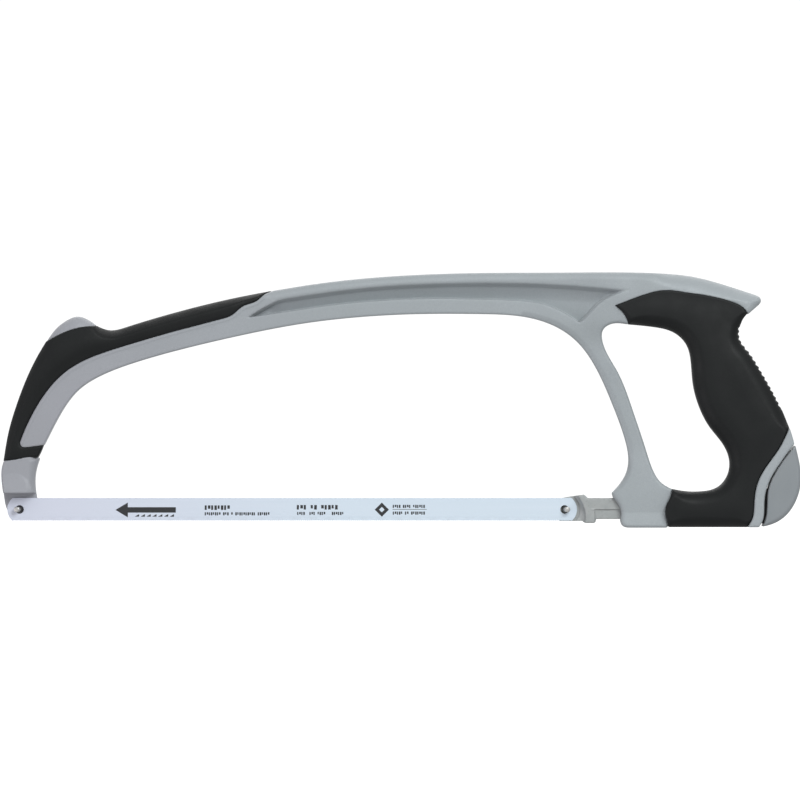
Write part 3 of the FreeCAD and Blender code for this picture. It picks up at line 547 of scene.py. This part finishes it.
class Finish:
    """A Principled material whose colour, roughness and relief vary with object coordinates."""

    def __init__(self, name, color, roughness, metallic=0.0, **sockets):
        self.material = bpy.data.materials.new(name)
        self.material.use_nodes = True
        self.tree = self.material.node_tree
        self.shader = self.tree.nodes["Principled BSDF"]
        self.coords = self.tree.nodes.new("ShaderNodeTexCoord").outputs["Object"]
        self.color = color
        self.shader.inputs["Base Color"].default_value = (*color, 1)
        self.shader.inputs["Roughness"].default_value = roughness
        self.shader.inputs["Metallic"].default_value = metallic
        for socket, value in sockets.items():
            self.shader.inputs[socket.replace("_", " ")].default_value = value

    def noise(self, size_mm, detail=2.0, rough=0.5, stretch=(1, 1, 1)):
        coords = self.coords
        if stretch != (1, 1, 1):
            inputs = {"Vector": coords, "Scale": stretch}
            coords = add_node(self.tree, "ShaderNodeMapping", inputs).outputs[0]
        inputs = {"Vector": coords, "Scale": 1 / (size_mm * MM), "Detail": detail,
                  "Roughness": rough}
        return add_node(self.tree, "ShaderNodeTexNoise", inputs).outputs["Fac"]

    def ramp(self, value, low, high, to_low, to_high):
        inputs = {"Value": value, "From Min": low, "From Max": high, "To Min": to_low,
                  "To Max": to_high}
        return add_node(self.tree, "ShaderNodeMapRange", inputs).outputs[0]

    def painted_lavender_light_toward_nose(self, most):
        """Painted light: grows to the front of the saw, to paint in the faint lavender cast that
        the light has there.
        """
        x = add_node(self.tree, "ShaderNodeSeparateXYZ", {0: self.coords}).outputs["X"]
        return self.ramp(x, -30 * MM, -190 * MM, 0.0, most)

    def tint(self, amount, color):
        """Mixes a colour into the base colour by a varying amount."""
        socket = self.shader.inputs["Base Color"]
        under = socket.links[0].from_socket if socket.is_linked else (*self.color, 1)
        mix = add_node(self.tree, "ShaderNodeMix", {"Factor": amount, 6: under, 7: (*color, 1)},
                       data_type="RGBA")
        self.tree.links.new(mix.outputs[2], socket)

    def mottle(self, value, low, high, most, color):
        """Mixes in a colour, up to the given share, as the value goes from low to high."""
        self.tint(self.ramp(value, low, high, 0.0, most), color)

    def gloss(self, noise, low, high):
        """The roughness follows a noise, from low to high."""
        rough = self.ramp(noise, 0.3, 0.7, low, high)
        self.tree.links.new(rough, self.shader.inputs["Roughness"])

    def relief(self, value, depth_mm, strength=1.0):
        """Adds bump; several add up."""
        inputs = {"Height": value, "Distance": depth_mm * MM, "Strength": strength}
        normal = self.shader.inputs["Normal"]
        if normal.is_linked:
            inputs["Normal"] = normal.links[0].from_socket
        bump = add_node(self.tree, "ShaderNodeBump", inputs)
        self.tree.links.new(bump.outputs["Normal"], normal)


def cast_paint():
    """Silver-grey paint over a sand-fine casting, with a few dark specks."""
    f = Finish("cast_paint", (0.312, 0.342, 0.362), 0.58, 0.10, Sheen_Weight=0.25,
               Sheen_Roughness=0.4)
    grain = f.noise(0.45, 3.0, 0.6)
    f.mottle(grain, 0.40, 0.72, 0.45, (0.44, 0.47, 0.486))
    f.mottle(f.noise(38.0), 0.35, 0.7, 0.25, (0.275, 0.308, 0.314))
    # painted light: the faint lavender cast of the light toward the nose
    f.tint(f.painted_lavender_light_toward_nose(0.6), (0.32, 0.315, 0.353))
    f.mottle(f.noise(0.55, 1.0, 0.4), 0.76, 0.84, 0.7, (0.16, 0.165, 0.17))
    f.gloss(f.noise(1.6, 3.0), 0.50, 0.64)
    f.relief(grain, 0.05, 0.55)
    f.relief(f.noise(3.2), 0.06, 0.5)
    return f.material


def rubber():
    """Charcoal moulded rubber with a fine spark-eroded grain."""
    f = Finish("grip_rubber", (0.0040, 0.0051, 0.0055), 0.52, Specular_IOR_Level=0.26,
               Sheen_Weight=0.05, Sheen_Roughness=0.35)
    fine = f.noise(0.30, 3.0, 0.65)
    f.mottle(fine, 0.4, 0.8, 0.5, (0.012, 0.0138, 0.0142))
    f.mottle(f.noise(26.0), 0.4, 0.7, 0.4, (0.009, 0.0104, 0.0108))
    f.gloss(f.noise(9.0, 3.0), 0.50, 0.62)
    f.relief(fine, 0.045, 0.6)
    return f.material


def lever_grey():
    """Satin mid-grey moulding, smoother than the casting."""
    f = Finish("lever_grey", (0.235, 0.257, 0.273), 0.40, 0.10, Sheen_Weight=0.3,
               Sheen_Roughness=0.4)
    f.mottle(f.noise(14.0), 0.35, 0.7, 0.25, (0.29, 0.31, 0.325))
    fine = f.noise(0.5)
    f.gloss(fine, 0.36, 0.46)
    f.relief(fine, 0.02, 0.4)
    return f.material


def cast_metal():
    """Bare zinc-like casting with a warm grey, slightly blotched skin."""
    f = Finish("cast_metal", (0.335, 0.355, 0.355), 0.5, 0.25)
    f.mottle(f.noise(5.0, 4.0, 0.6), 0.35, 0.7, 0.55, (0.44, 0.455, 0.45))
    f.mottle(f.noise(1.1), 0.62, 0.75, 0.5, (0.21, 0.215, 0.20))
    f.gloss(f.noise(2.0, 3.0), 0.42, 0.6)
    f.relief(f.noise(0.6, 3.0, 0.6), 0.06, 0.6)
    return f.material


def blade_paint():
    """Pale blue-white enamel with faint rolling marks along the blade."""
    f = Finish("blade_paint", (0.625, 0.72, 0.81), 0.34, 0.0, Coat_Weight=0.2)
    along = f.noise(2.0, 3.0, 0.6, stretch=(0.02, 1, 1))
    f.mottle(along, 0.35, 0.7, 0.22, (0.70, 0.77, 0.85))
    # painted light: the faint lavender cast of the light toward the nose
    f.tint(f.painted_lavender_light_toward_nose(0.9), (0.63, 0.655, 0.76))
    f.mottle(f.noise(0.5), 0.70, 0.78, 0.35, (0.42, 0.45, 0.50))
    f.gloss(along, 0.28, 0.40)
    f.relief(f.noise(0.7), 0.012, 0.4)
    return f.material


def blade_steel():
    """Milled tooth edge with paint left between the teeth."""
    f = Finish("blade_steel", (0.625, 0.72, 0.81), 0.36, 0.0)
    # painted light: the faint lavender cast of the light toward the nose
    f.tint(f.painted_lavender_light_toward_nose(0.9), (0.63, 0.655, 0.76))
    f.mottle(f.noise(0.8), 0.5, 0.7, 0.35, (0.48, 0.52, 0.57))
    f.gloss(f.noise(0.4), 0.26, 0.44)
    f.relief(f.noise(0.3, stretch=(1, 6, 1)), 0.02, 0.5)
    return f.material


def ink():
    """Matt black screen print."""
    f = Finish("ink", (0.018, 0.019, 0.021), 0.5)
    f.mottle(f.noise(0.35), 0.45, 0.75, 0.35, (0.07, 0.075, 0.08))
    f.gloss(f.noise(0.6), 0.42, 0.6)
    return f.material


def steel(name, color, roughness, stretch=(1, 1, 1)):
    """Turned or plated steel with fine tool marks."""
    f = Finish(name, color, roughness, 0.95)
    marks = f.noise(0.25, 3.0, 0.6, stretch=stretch)
    darker = tuple(c * 0.62 for c in color)
    f.mottle(f.noise(2.4, 3.0), 0.4, 0.75, 0.5, darker)
    f.gloss(marks, roughness * 0.8, roughness * 1.25)
    f.relief(marks, 0.012, 0.5)
    return f.material


# ---- casting ----
def lever_pocket(grid):
    """The room in the foot of the handle that the lever's hub turns in."""
    half = HUB_HALF + POCKET_GAP
    radius = HUB_R + POCKET_GAP
    below = grid.block((PIVOT_X - radius, FAR_X), (-half, half), (-FAR_Z, AXIS_Z))
    behind = grid.block((PIVOT_X, FAR_X), (-half, half), (-FAR_Z, AXIS_Z + radius))
    hub = np.hypot(grid.x - PIVOT_X, grid.z - AXIS_Z) - radius
    hub = np.maximum(hub, np.abs(grid.y) - half)
    return np.minimum(np.minimum(below, behind), hub)


def mechanism_room(grid):
    """The way through the foot for the rod and the link, and the lever's pocket."""
    rod_hole = np.hypot(grid.y, grid.z - AXIS_Z) - ROD_HOLE_R
    rod_hole = np.maximum(rod_hole, np.abs(grid.x - (WEB_X0 + WEB_X1) / 2) - WEB_X1 + WEB_X0)
    tunnel = grid.block((WEB_X1, PIVOT_X), (-TUNNEL_Y, TUNNEL_Y),
                        (AXIS_Z - TUNNEL_Z, AXIS_Z + TUNNEL_Z))
    return np.minimum(np.minimum(rod_hole, tunnel), lever_pocket(grid))


def casting_thickness(grid):
    """Half thickness: smooth between the given places, with a bevel round the throat, a fine
    ridge beside the front grip and a socket whose sides swell downwards."""
    total = value = 0
    for x, z, half in THICKNESS:
        apart = (grid.flat - x) ** 2 + (grid.flat_z - z) ** 2
        weight = 1 / (apart + THICKNESS_REACH) ** 2
        total = total + weight
        value = value + half * weight
    tube = np.clip(TUBE_TOP - grid.flat_z, 0, None) * ease((grid.flat - TUBE_X) / TUBE_START)
    bevel = BEVEL_DEEP * (1 - ease(grid.near(STRUT_THROAT[1:10]) / BEVEL_WIDE))
    beside_grip = np.minimum(grid.near(GRIP_RAIL), grid.near(GRIP_TIP))
    ridge = np.exp(-(((beside_grip - RIDGE_OFF) / RIDGE_WIDE) ** 2))
    return value / total + TUBE_SLOPE * tube + RIDGE_HIGH * ridge - bevel


def casting_plate(grid):
    """The casting's edge in side view, its half thickness, and the plate that they make."""
    outer = join_stretches(NOSE_OUTER, FRONT_CORE_OUTER, THUMB_REST, FRONT_CORE_TOP, SPINE_TOP,
                           HORN_TIP, HORN_UNDER, HANDLE_CORE_BACK, STRIP_OUTER, STRIP_REAR)
    rest = join_stretches(MOUTH_LIP, MOUTH_EDGE, STRUT_THROAT, UNDER_BAND, NOSE_INNER)
    edge = grid.distance(np.vstack([outer, polygon(SOCKET_FOOT), rest]), closed=True)
    edge = np.maximum(edge, -grid.outline(WINDOW_METAL, WINDOW_CORE))
    half = casting_thickness(grid)
    rounds = softened(grid, weighted(grid, EDGE_ROUNDS), ROUND_BLUR)
    return edge, half, grid.plate(edge, half, rounds)


def housing_and_strips(grid, edge):
    """The lever's housing in the handle, and the bare strips beside the lever."""
    strip = grid.outline(STRIP_OUTER, STRIP_REAR, HANDLE_STRIP_EDGE[::-1])
    strip = grid.plate(strip, STRIP_HALF, STRIP_ROUND)
    housing = grid.block(HOUSING_X, (-HOUSING_HALF, HOUSING_HALF), HOUSING_Z)
    return np.minimum(strip, np.maximum(housing, edge + HOUSING_WALL))


def groove(grid, half):
    """The groove on each side of the bow: a step along its top, then a long slope."""
    edge = grid.outline(GROOVE_LOWER, GROOVE_TAIL, GROOVE_UPPER, GROOVE_HEAD)
    from_top = grid.near(GROOVE_UPPER)
    sloped = 1 - ease(1 - from_top / GROOVE_SLOPE_WIDTH)
    depth = GROOVE_STEP * ease(from_top / GROOVE_STEP_WIDTH)
    depth = depth + GROOVE_SLOPE * sloped**GROOVE_SLOPE_POWER
    depth = depth * ease(grid.near(GROOVE_HEAD) / GROOVE_HEAD_WIDTH)
    depth = depth * ease(grid.near(GROOVE_TAIL) / GROOVE_TAIL_WIDTH + GROOVE_TAIL_STEP)
    return np.maximum(edge, half - depth - np.abs(grid.y))


def pin_well(grid, hole_x):
    """The round recess that a blade pin stands in."""
    well = np.hypot(grid.x - hole_x, grid.z - BLADE_Z) - PIN_WELL_R
    return np.maximum(well, grid.y - PIN_WELL_DEEP)


def brow(grid, edge):
    """The low arched rise over the blade's seat on the nose, on the blade's side only."""
    inside_arch = BROW_R - np.hypot(grid.x - BROW_X, grid.z - SEAT_TOP)
    from_crest = SEAT_TOP + BROW_R - grid.z
    rise = np.minimum(BROW_SLOPE * from_crest, BROW_SIDE * inside_arch)
    arch = np.maximum(-grid.y - BROW_HALF - rise, -inside_arch)
    return np.maximum(np.maximum(arch, edge + BROW_INSET), grid.y)


def frame_casting():
    grid = Grid((-220.5, -16.2, -0.1), (216.2, 16.2, 140.6), step=0.62)
    edge, half, body = casting_plate(grid)
    body = blend(body, housing_and_strips(grid, edge), FILLET)
    body = carve(body, groove(grid, half), FILLET)
    for grip_edge, grip in (front_grip(grid), handle_grip(grid)):
        too_high = np.maximum(-(grip + RUBBER_OVER), grip_edge + RUBBER_REVEAL)
        body = carve(body, too_high, RUBBER_RIM)
    body = blend(body, brow(grid, edge), FILLET)
    nose_seat = grid.block((-FAR_X, NOSE_SEAT_X1), (-FAR_Y, 0), (-FAR_Z, SEAT_TOP))
    body = carve(body, nose_seat, RIM)
    body = carve(body, pin_well(grid, FRONT_HOLE_X), RIM)
    bore_y = BAR_WIDTH / 2 + SLIDE_GAP
    bore_z = BAR_HEIGHT / 2 + SLIDE_GAP
    bore = grid.block((BORE_X0, WEB_X0), (-bore_y, bore_y), (AXIS_Z - bore_z, AXIS_Z + bore_z))
    body = carve(body, bore, RIM)
    body = carve(body, mechanism_room(grid), RIM)
    return skin("frame_shell", grid, body, most_faces=190000)


# ---- grips and lever ----
def taper(along, start, length, depth):
    return depth * ease((along - start) / length)


def crown(grid, edge, width, depth):
    """How far a side drops off towards its edge, so that it is nowhere quite flat."""
    return depth * (1 - ease(-softened(grid, edge, CROWN_BLUR) / width))


def front_grip(grid):
    """The front grip's edge in side view, and its solid."""
    edge = grid.outline(*[stretch for stretch, _ in GRIP_ROUNDS])
    rounds = softened(grid, weighted(grid, GRIP_ROUNDS), GRIP_ROUND_BLUR)
    half = FRONT_GRIP_HALF - taper(grid.flat, *FRONT_TAPER)
    half = half - crown(grid, edge, *FRONT_CROWN)
    return edge, grid.plate(edge, half, rounds)


def handle_grip(grid):
    """The handle grip's edge in side view, and its solid with the ribs on its back."""
    edge = grid.outline(*[stretch for stretch, _ in HANDLE_ROUNDS])
    rounds = softened(grid, weighted(grid, HANDLE_ROUNDS), GRIP_ROUND_BLUR)
    half = HANDLE_GRIP_HALF - taper(grid.flat_z, *HANDLE_TAPER)
    half = half - crown(grid, edge, *HANDLE_CROWN)
    turn = (grid.flat_z - RIB_Z0) / RIB_PITCH
    rib = np.abs(2 * (turn - np.floor(turn)) - 1)
    where = ease((grid.flat_z - RIB_Z0) / RIB_START) * ease((RIB_Z1 - grid.flat_z) / RIB_START)
    where = where * ease(2 - grid.near(HANDLE_BACK) / RIB_SIDE)
    across = ease((RIB_HALF - np.abs(grid.y)) / RIB_SIDE)
    return edge, grid.plate(edge + RIB_DEPTH * rib * where * across, half, rounds)


def front_grip_skin():
    grid = Grid((-218.8, -11.6, 36.4), (-70.3, 11.6, 130.5), step=0.5)
    return skin("front_grip_skin", grid, front_grip(grid)[1], most_faces=90000)


def handle_grip_skin():
    grid = Grid((118.7, -15.6, 0.2), (213.5, 15.6, 130.8), step=0.5)
    grip = carve(handle_grip(grid)[1], mechanism_room(grid), RIM)
    return skin("handle_grip_skin", grid, grip, most_faces=120000)


def lever_cover():
    grid = Grid((198.5, -15.1, 0.5), (219.8, 15.1, 44.8), step=0.36)
    edge = grid.outline(*[stretch for stretch, _ in LEVER_ROUNDS])
    cover = grid.plate(edge, COVER_HALF, weighted(grid, LEVER_ROUNDS))
    core = grid.distance(polygon(LEVER_CORE), closed=True)
    slot = np.maximum(core, np.abs(grid.y) - HUB_HALF - SLOT_GAP)
    cover = carve(cover, slot, SLOT_RIM)
    return skin("lever_cover_skin", grid, cover, most_faces=60000)


# ---- drawbar and blade ----
def drawbar():
    half = BAR_WIDTH / 2
    top, bottom = AXIS_Z + BAR_HEIGHT / 2, AXIS_Z - BAR_HEIGHT / 2
    grid = Grid((84.4, -half, 2.4), (BAR_REAR_X, half, 18.3), step=0.26)
    bar = polygon([HEAD_TOP[-1], (BAR_FRONT_X, top), (BAR_REAR_X, top), (BAR_REAR_X, bottom),
                   *HEAD_LUG], 0.5)
    line = np.vstack([smooth_curve(HEAD_FRONT), smooth_curve(HEAD_TOP), bar])
    seam = np.exp(-((grid.flat_z - AXIS_Z + SEAM_DROP) / SEAM_WIDE) ** 2)
    seam = SEAM_HIGH * seam * ease((grid.flat - SEAM_X) / SEAM_START)
    under = ease((AXIS_Z - NECK_DROP - grid.flat_z) / NECK_RISE)
    neck = NECK_STEP * ease((grid.flat - NECK_X) / NECK_START) * under
    body = grid.plate(grid.distance(line, closed=True), half - neck + seam, BAR_ROUND)
    seat_line = np.vstack([smooth_curve(SEAT_WALL), polygon(SEAT_AHEAD)])
    seat = carve(grid.distance(seat_line, closed=True), -grid.y, HEAD_SWEEP)
    body = carve(body, seat, RIM)
    body = carve(body, pin_well(grid, REAR_HOLE_X), RIM)
    body = carve(body, np.maximum(blade_room(grid), grid.y), FINE_RIM)
    return skin("drawbar_shell", grid, body, most_faces=60000)


def blade_room(grid):
    """The room that the blade's rear end needs in the drawbar's head."""
    _, x1, top, _, tips = blade_ends()
    rear = end_arc(x1, REAR_HOLE_X + BLADE_END, top, tips)
    ahead = SEAT_AHEAD[1][0]
    blade = np.vstack([[(ahead, top)], rear, [(ahead, tips)]])
    return grid.distance(blade, closed=True) - BLADE_ROOM


def blade_ends():
    """Where the blade's straight edges end, and the height of its top, weld line and tips."""
    x0, x1 = FRONT_HOLE_X - BLADE_FLAT_END, REAR_HOLE_X + BLADE_FLAT_END
    top, tips = BLADE_Z + BLADE_WIDTH / 2, BLADE_Z - BLADE_WIDTH / 2
    return x0, x1, top, tips + TOOTH_STRIP, tips


def end_arc(x_flat, x_end, top, bottom, count=40):
    """The round end of the blade, from the top edge to the bottom edge."""
    half, bulge = (top - bottom) / 2, abs(x_end - x_flat)
    radius = (half * half + bulge * bulge) / (2 * bulge)
    turn = math.asin(half / radius)
    side = math.copysign(1, x_end - x_flat)
    center = x_end - side * radius
    angles = np.linspace(turn, -turn, count)
    return np.stack([center + side * radius * np.cos(angles),
                     (top + bottom) / 2 + radius * np.sin(angles)], axis=1)


def blade_back():
    x0, x1, top, weld, tips = blade_ends()
    rear = end_arc(x1, REAR_HOLE_X + BLADE_END, top, tips)
    front = end_arc(x0, FRONT_HOLE_X - BLADE_END, top, tips)[::-1]
    upper = smooth_curve([(x0, top), (x1, top)], 4.0)
    lower = smooth_curve([(x1, weld), (x0, weld)], 4.0)
    outer = closed_line(np.vstack([upper, rear, lower, front])[::-1])
    angles = np.linspace(0, 2 * math.pi, 65)[:-1]
    ring = np.stack([np.cos(angles), -np.sin(angles)], axis=1) * BLADE_HOLE_R
    holes = [ring + (x, BLADE_Z) for x in (FRONT_HOLE_X, REAR_HOLE_X)]
    return sheet_mesh("blade_plate", outer, holes, BLADE_FRONT_Y, BLADE_BACK_Y, BLADE_BEVEL)


def tooth_strip():
    """24 teeth per inch, pointing forward, set in a gentle wave to each side."""
    x0, x1, _, weld, tips = blade_ends()
    line = []
    for tooth in range(int((x1 - x0) / TOOTH_PITCH)):
        x = x0 + tooth * TOOTH_PITCH
        set_here = TOOTH_SET * ease((min(x - x0, x1 - x) - SEAT_REACH) / SET_FADE)
        wave = set_here * math.sin(2 * math.pi * tooth / TEETH_IN_WAVE)
        line += [(x + share * TOOTH_PITCH, tips + rise, wave) for share, rise in TOOTH_SHAPE]
    line.append((x1, tips, 0))
    points, faces = [], []
    front, back = BLADE_FRONT_Y, BLADE_BACK_Y
    for x, z, wave in line:
        points += [(x, front, weld), (x, front + wave, z), (x, back + wave, z), (x, back, weld)]
    for k in range(len(line) - 1):
        a, b = 4 * k, 4 * k + 4
        for i, j in ((0, 1), (1, 2), (2, 3), (3, 0)):
            faces.append((a + i, a + j, b + j, b + i))
    faces.append((3, 2, 1, 0))
    faces.append(tuple(len(points) - 4 + k for k in range(4)))
    return build_mesh("tooth_row", np.array(points) * MM, faces)


def print_mesh():
    """An arrow along the cut with a row of teeth, rows of blank blocks, and a plain diamond."""
    points, faces = [], []

    def add(loop):
        start, count = len(points), len(loop)
        for level in (BLADE_FRONT_Y - INK_OVER, BLADE_FRONT_Y + INK_UNDER):
            points.extend((x, level, z) for x, z in loop)
        faces.append([start + k for k in range(count)])
        faces.append([start + count + k for k in range(count)][::-1])
        for k in range(count):
            n = (k + 1) % count
            faces.append((start + n, start + k, start + count + k, start + count + n))

    def rect(x0, x1, z0, z1):
        add([(x0, z0), (x1, z0), (x1, z1), (x0, z1)])

    def blocks(x0, x1, z0, z1, width, spaces):
        step = width * BLOCK_PITCH
        for k in range(int((x1 - x0) / step)):
            if k not in spaces:
                low = z0 + (z1 - z0) * (BLOCK_LOW if k % 3 == 1 else 0)
                x = x0 + k * step
                rect(x, x + width * (1 if k % 2 else BLOCK_NARROW), low, z1)

    add(ARROW)
    for k in range(MARKS):
        x = MARK_X + MARK_PITCH * k
        add([(x, MARK_Z0), (x + MARK_WIDTH, MARK_Z0), (x + MARK_WIDTH, MARK_Z1)])
    for row in PRINT_ROWS:
        blocks(*row)
    rect(*RULE)
    for side in (-1, 1):
        for up in (-1, 1):
            quarter = [(DIAMOND_X, DIAMOND_Z + up * DIAMOND_IN),
                       (DIAMOND_X, DIAMOND_Z + up * DIAMOND_OUT),
                       (DIAMOND_X + side * DIAMOND_OUT, DIAMOND_Z),
                       (DIAMOND_X + side * DIAMOND_IN, DIAMOND_Z)]
            add(quarter[::-side * up])
    return build_mesh("print", np.array(points) * MM, faces)


def blade_pin(name, hole_x, outward):
    """A leaning pin with a chamfered, slightly domed tip."""
    lean = math.radians(PIN_TILT)
    axis = Vector((outward * math.sin(lean), -math.cos(lean), 0))
    middle_y = (BLADE_FRONT_Y + BLADE_BACK_Y) / 2
    middle = Vector((hole_x + outward * PIN_OFFSET, middle_y, BLADE_Z))
    profile = [(-PIN_DEEP + along, PIN_R - thinner) for along, thinner in PIN_ROOT]
    profile += [(PIN_OUT - along, PIN_R - thinner) for along, thinner in PIN_TIP]
    return turned(name, profile, middle, axis)


# ---- assembly ----
def assemble():
    paint, black, ink_black = cast_paint(), rubber(), ink()
    place("frame_shell", frame_casting(), "frame", paint, ["frame_casting"])
    place("front_grip_skin", front_grip_skin(), "frame", black, ["front_grip"])
    place("handle_grip_skin", handle_grip_skin(), "frame", black, ["handle_grip"])
    place("lever_cover_skin", lever_cover(), "lever", lever_grey(), ["lever_cover"])
    place("drawbar_shell", drawbar(), "drawbar", cast_metal(), ["drawbar"])
    place("blade_plate", blade_back(), "blade", blade_paint(), ["blade_back"])
    place("tooth_row", tooth_strip(), "blade", blade_steel(), ["tooth_strip"])
    place("blade_print", print_mesh(), "blade", ink_black, [])
    pin_steel = steel("pin_steel", (0.58, 0.58, 0.57), 0.5)
    for name, hole_x, outward, body in (("front_blade_pin", FRONT_HOLE_X, -1, "frame"),
                                        ("rear_blade_pin", REAR_HOLE_X, 1, "drawbar")):
        mesh = blade_pin(name + "_turned", hole_x, outward)
        pin = place(name + "_turned", mesh, body, pin_steel, [name])
        pin.data.shade_smooth()
        pin.data.set_sharp_from_angle(angle=math.radians(35))


def finish_cad_nodes():
    """The parts inside the handle keep their CAD shape and get a finish each."""
    blackened = steel("blackened_steel", (0.035, 0.035, 0.037), 0.45)
    plated = steel("zinc_steel", (0.66, 0.67, 0.68), 0.30)
    hard = steel("hardened_steel", (0.50, 0.49, 0.48), 0.36, (0.3, 2, 0.3))
    spring = steel("spring_steel", (0.26, 0.265, 0.275), 0.32)
    finishes = {"zinc_steel": plated, "hardened_steel": hard, "spring_steel": spring}
    lever_nodes = frame["record"]["behaviour"]["bodies"]["lever"]
    slots = {s["node"]: s["material_slot"] for s in frame["record"]["subparts"]}
    for name, node in frame["nodes"].items():
        if node.hide_render:
            continue
        material = blackened if name in lever_nodes else finishes[slots[name]]
        for material_slot in node.material_slots:
            material_slot.material = material
        if not node.material_slots:
            node.data.materials.append(material)


# ---- stage ----
def area_light(name, power, size, position, aim, color=(1, 1, 1)):
    data = bpy.data.lights.new(name, "AREA")
    data.shape = "RECTANGLE"
    data.size, data.size_y = size
    data.energy = power
    data.color = color
    light = bpy.data.objects.new(name, data)
    light.location = position
    light.rotation_euler = (Vector(aim) - Vector(position)).to_track_quat("-Z", "Y").to_euler()
    bpy.context.scene.collection.objects.link(light)


def room_strength(tree):
    """The room's light in a direction: most from above, some from below, least from level."""
    direction = add_node(tree, "ShaderNodeTexCoord", {}).outputs["Generated"]
    up = add_node(tree, "ShaderNodeSeparateXYZ", {0: direction}).outputs["Z"]
    steep = add_node(tree, "ShaderNodeMath", {0: up}, operation="ABSOLUTE").outputs[0]
    strength = ROOM_LEVEL
    for height, factor in ((up, ROOM_UP), (steep, ROOM_STEEP)):
        strength = add_node(tree, "ShaderNodeMath", {0: height, 1: factor, 2: strength},
                            operation="MULTIPLY_ADD").outputs[0]
    return strength


def studio():
    """A room that the camera sees as white, a floor that only it sees, and three soft lights."""
    scene = bpy.context.scene
    scene.view_settings.view_transform = "Standard"
    world = bpy.data.worlds.new("studio")
    scene.world = world
    world.use_nodes = True
    tree = world.node_tree
    backdrop = tree.nodes["Background"]
    backdrop.inputs["Color"].default_value = (1, 1, 1, 1)
    backdrop.inputs["Strength"].default_value = BACKDROP
    room = add_node(tree, "ShaderNodeBackground", {"Strength": room_strength(tree)})
    seen = add_node(tree, "ShaderNodeLightPath", {}).outputs["Is Camera Ray"]
    shaders = {0: seen, 1: room.outputs[0], 2: backdrop.outputs[0]}
    either = add_node(tree, "ShaderNodeMixShader", shaders)
    tree.links.new(either.outputs[0], tree.nodes["World Output"].inputs["Surface"])

    depth = -OPEN_LEVER_REACH * MM
    corners = [(x, y, depth) for x, y in ((-6, -6), (6, -6), (6, 6), (-6, 6))]
    floor = bpy.data.objects.new("floor", build_mesh("floor", corners, [(0, 1, 2, 3)]))
    scene.collection.objects.link(floor)
    pale = Finish("floor_paper", (0.86, 0.86, 0.86), 1.0, Emission_Color=(1, 1, 1, 1),
                  Emission_Strength=0.6)
    pale.mottle(pale.noise(3.0), 0.3, 0.7, 0.2, (0.90, 0.90, 0.90))
    floor.data.materials.append(pale.material)
    floor.visible_diffuse = floor.visible_glossy = floor.visible_shadow = False

    middle = (0.0, 0.0, 0.07)
    area_light("key", 15.5, (0.9, 0.7), (0.6, -1.3, 0.85), middle, (0.97, 1.0, 1.0))
    area_light("fill", 5.0, (1.2, 1.0), (-1.2, -0.7, -0.2), (-0.1, 0.0, 0.05), (1.0, 0.95, 1.0))
    area_light("rim", 5.5, (1.4, 0.9), (0.1, 0.9, 0.9), middle)


def camera():
    """Level with the middle of the saw and square to its side."""
    middle_x, middle_z, view_width, distance = -0.0006, 0.0702, 0.4404, 6.0
    data = bpy.data.cameras.new("camera")
    data.sensor_width = 36.0
    data.lens = data.sensor_width * distance / view_width
    data.clip_start = 0.01
    eye = bpy.data.objects.new("camera", data)
    eye.location = (middle_x, -distance, middle_z)
    eye.rotation_euler = (math.radians(90), 0, 0)
    bpy.context.scene.collection.objects.link(eye)
    bpy.context.scene.camera = eye


assemble()
finish_cad_nodes()
studio()
camera()
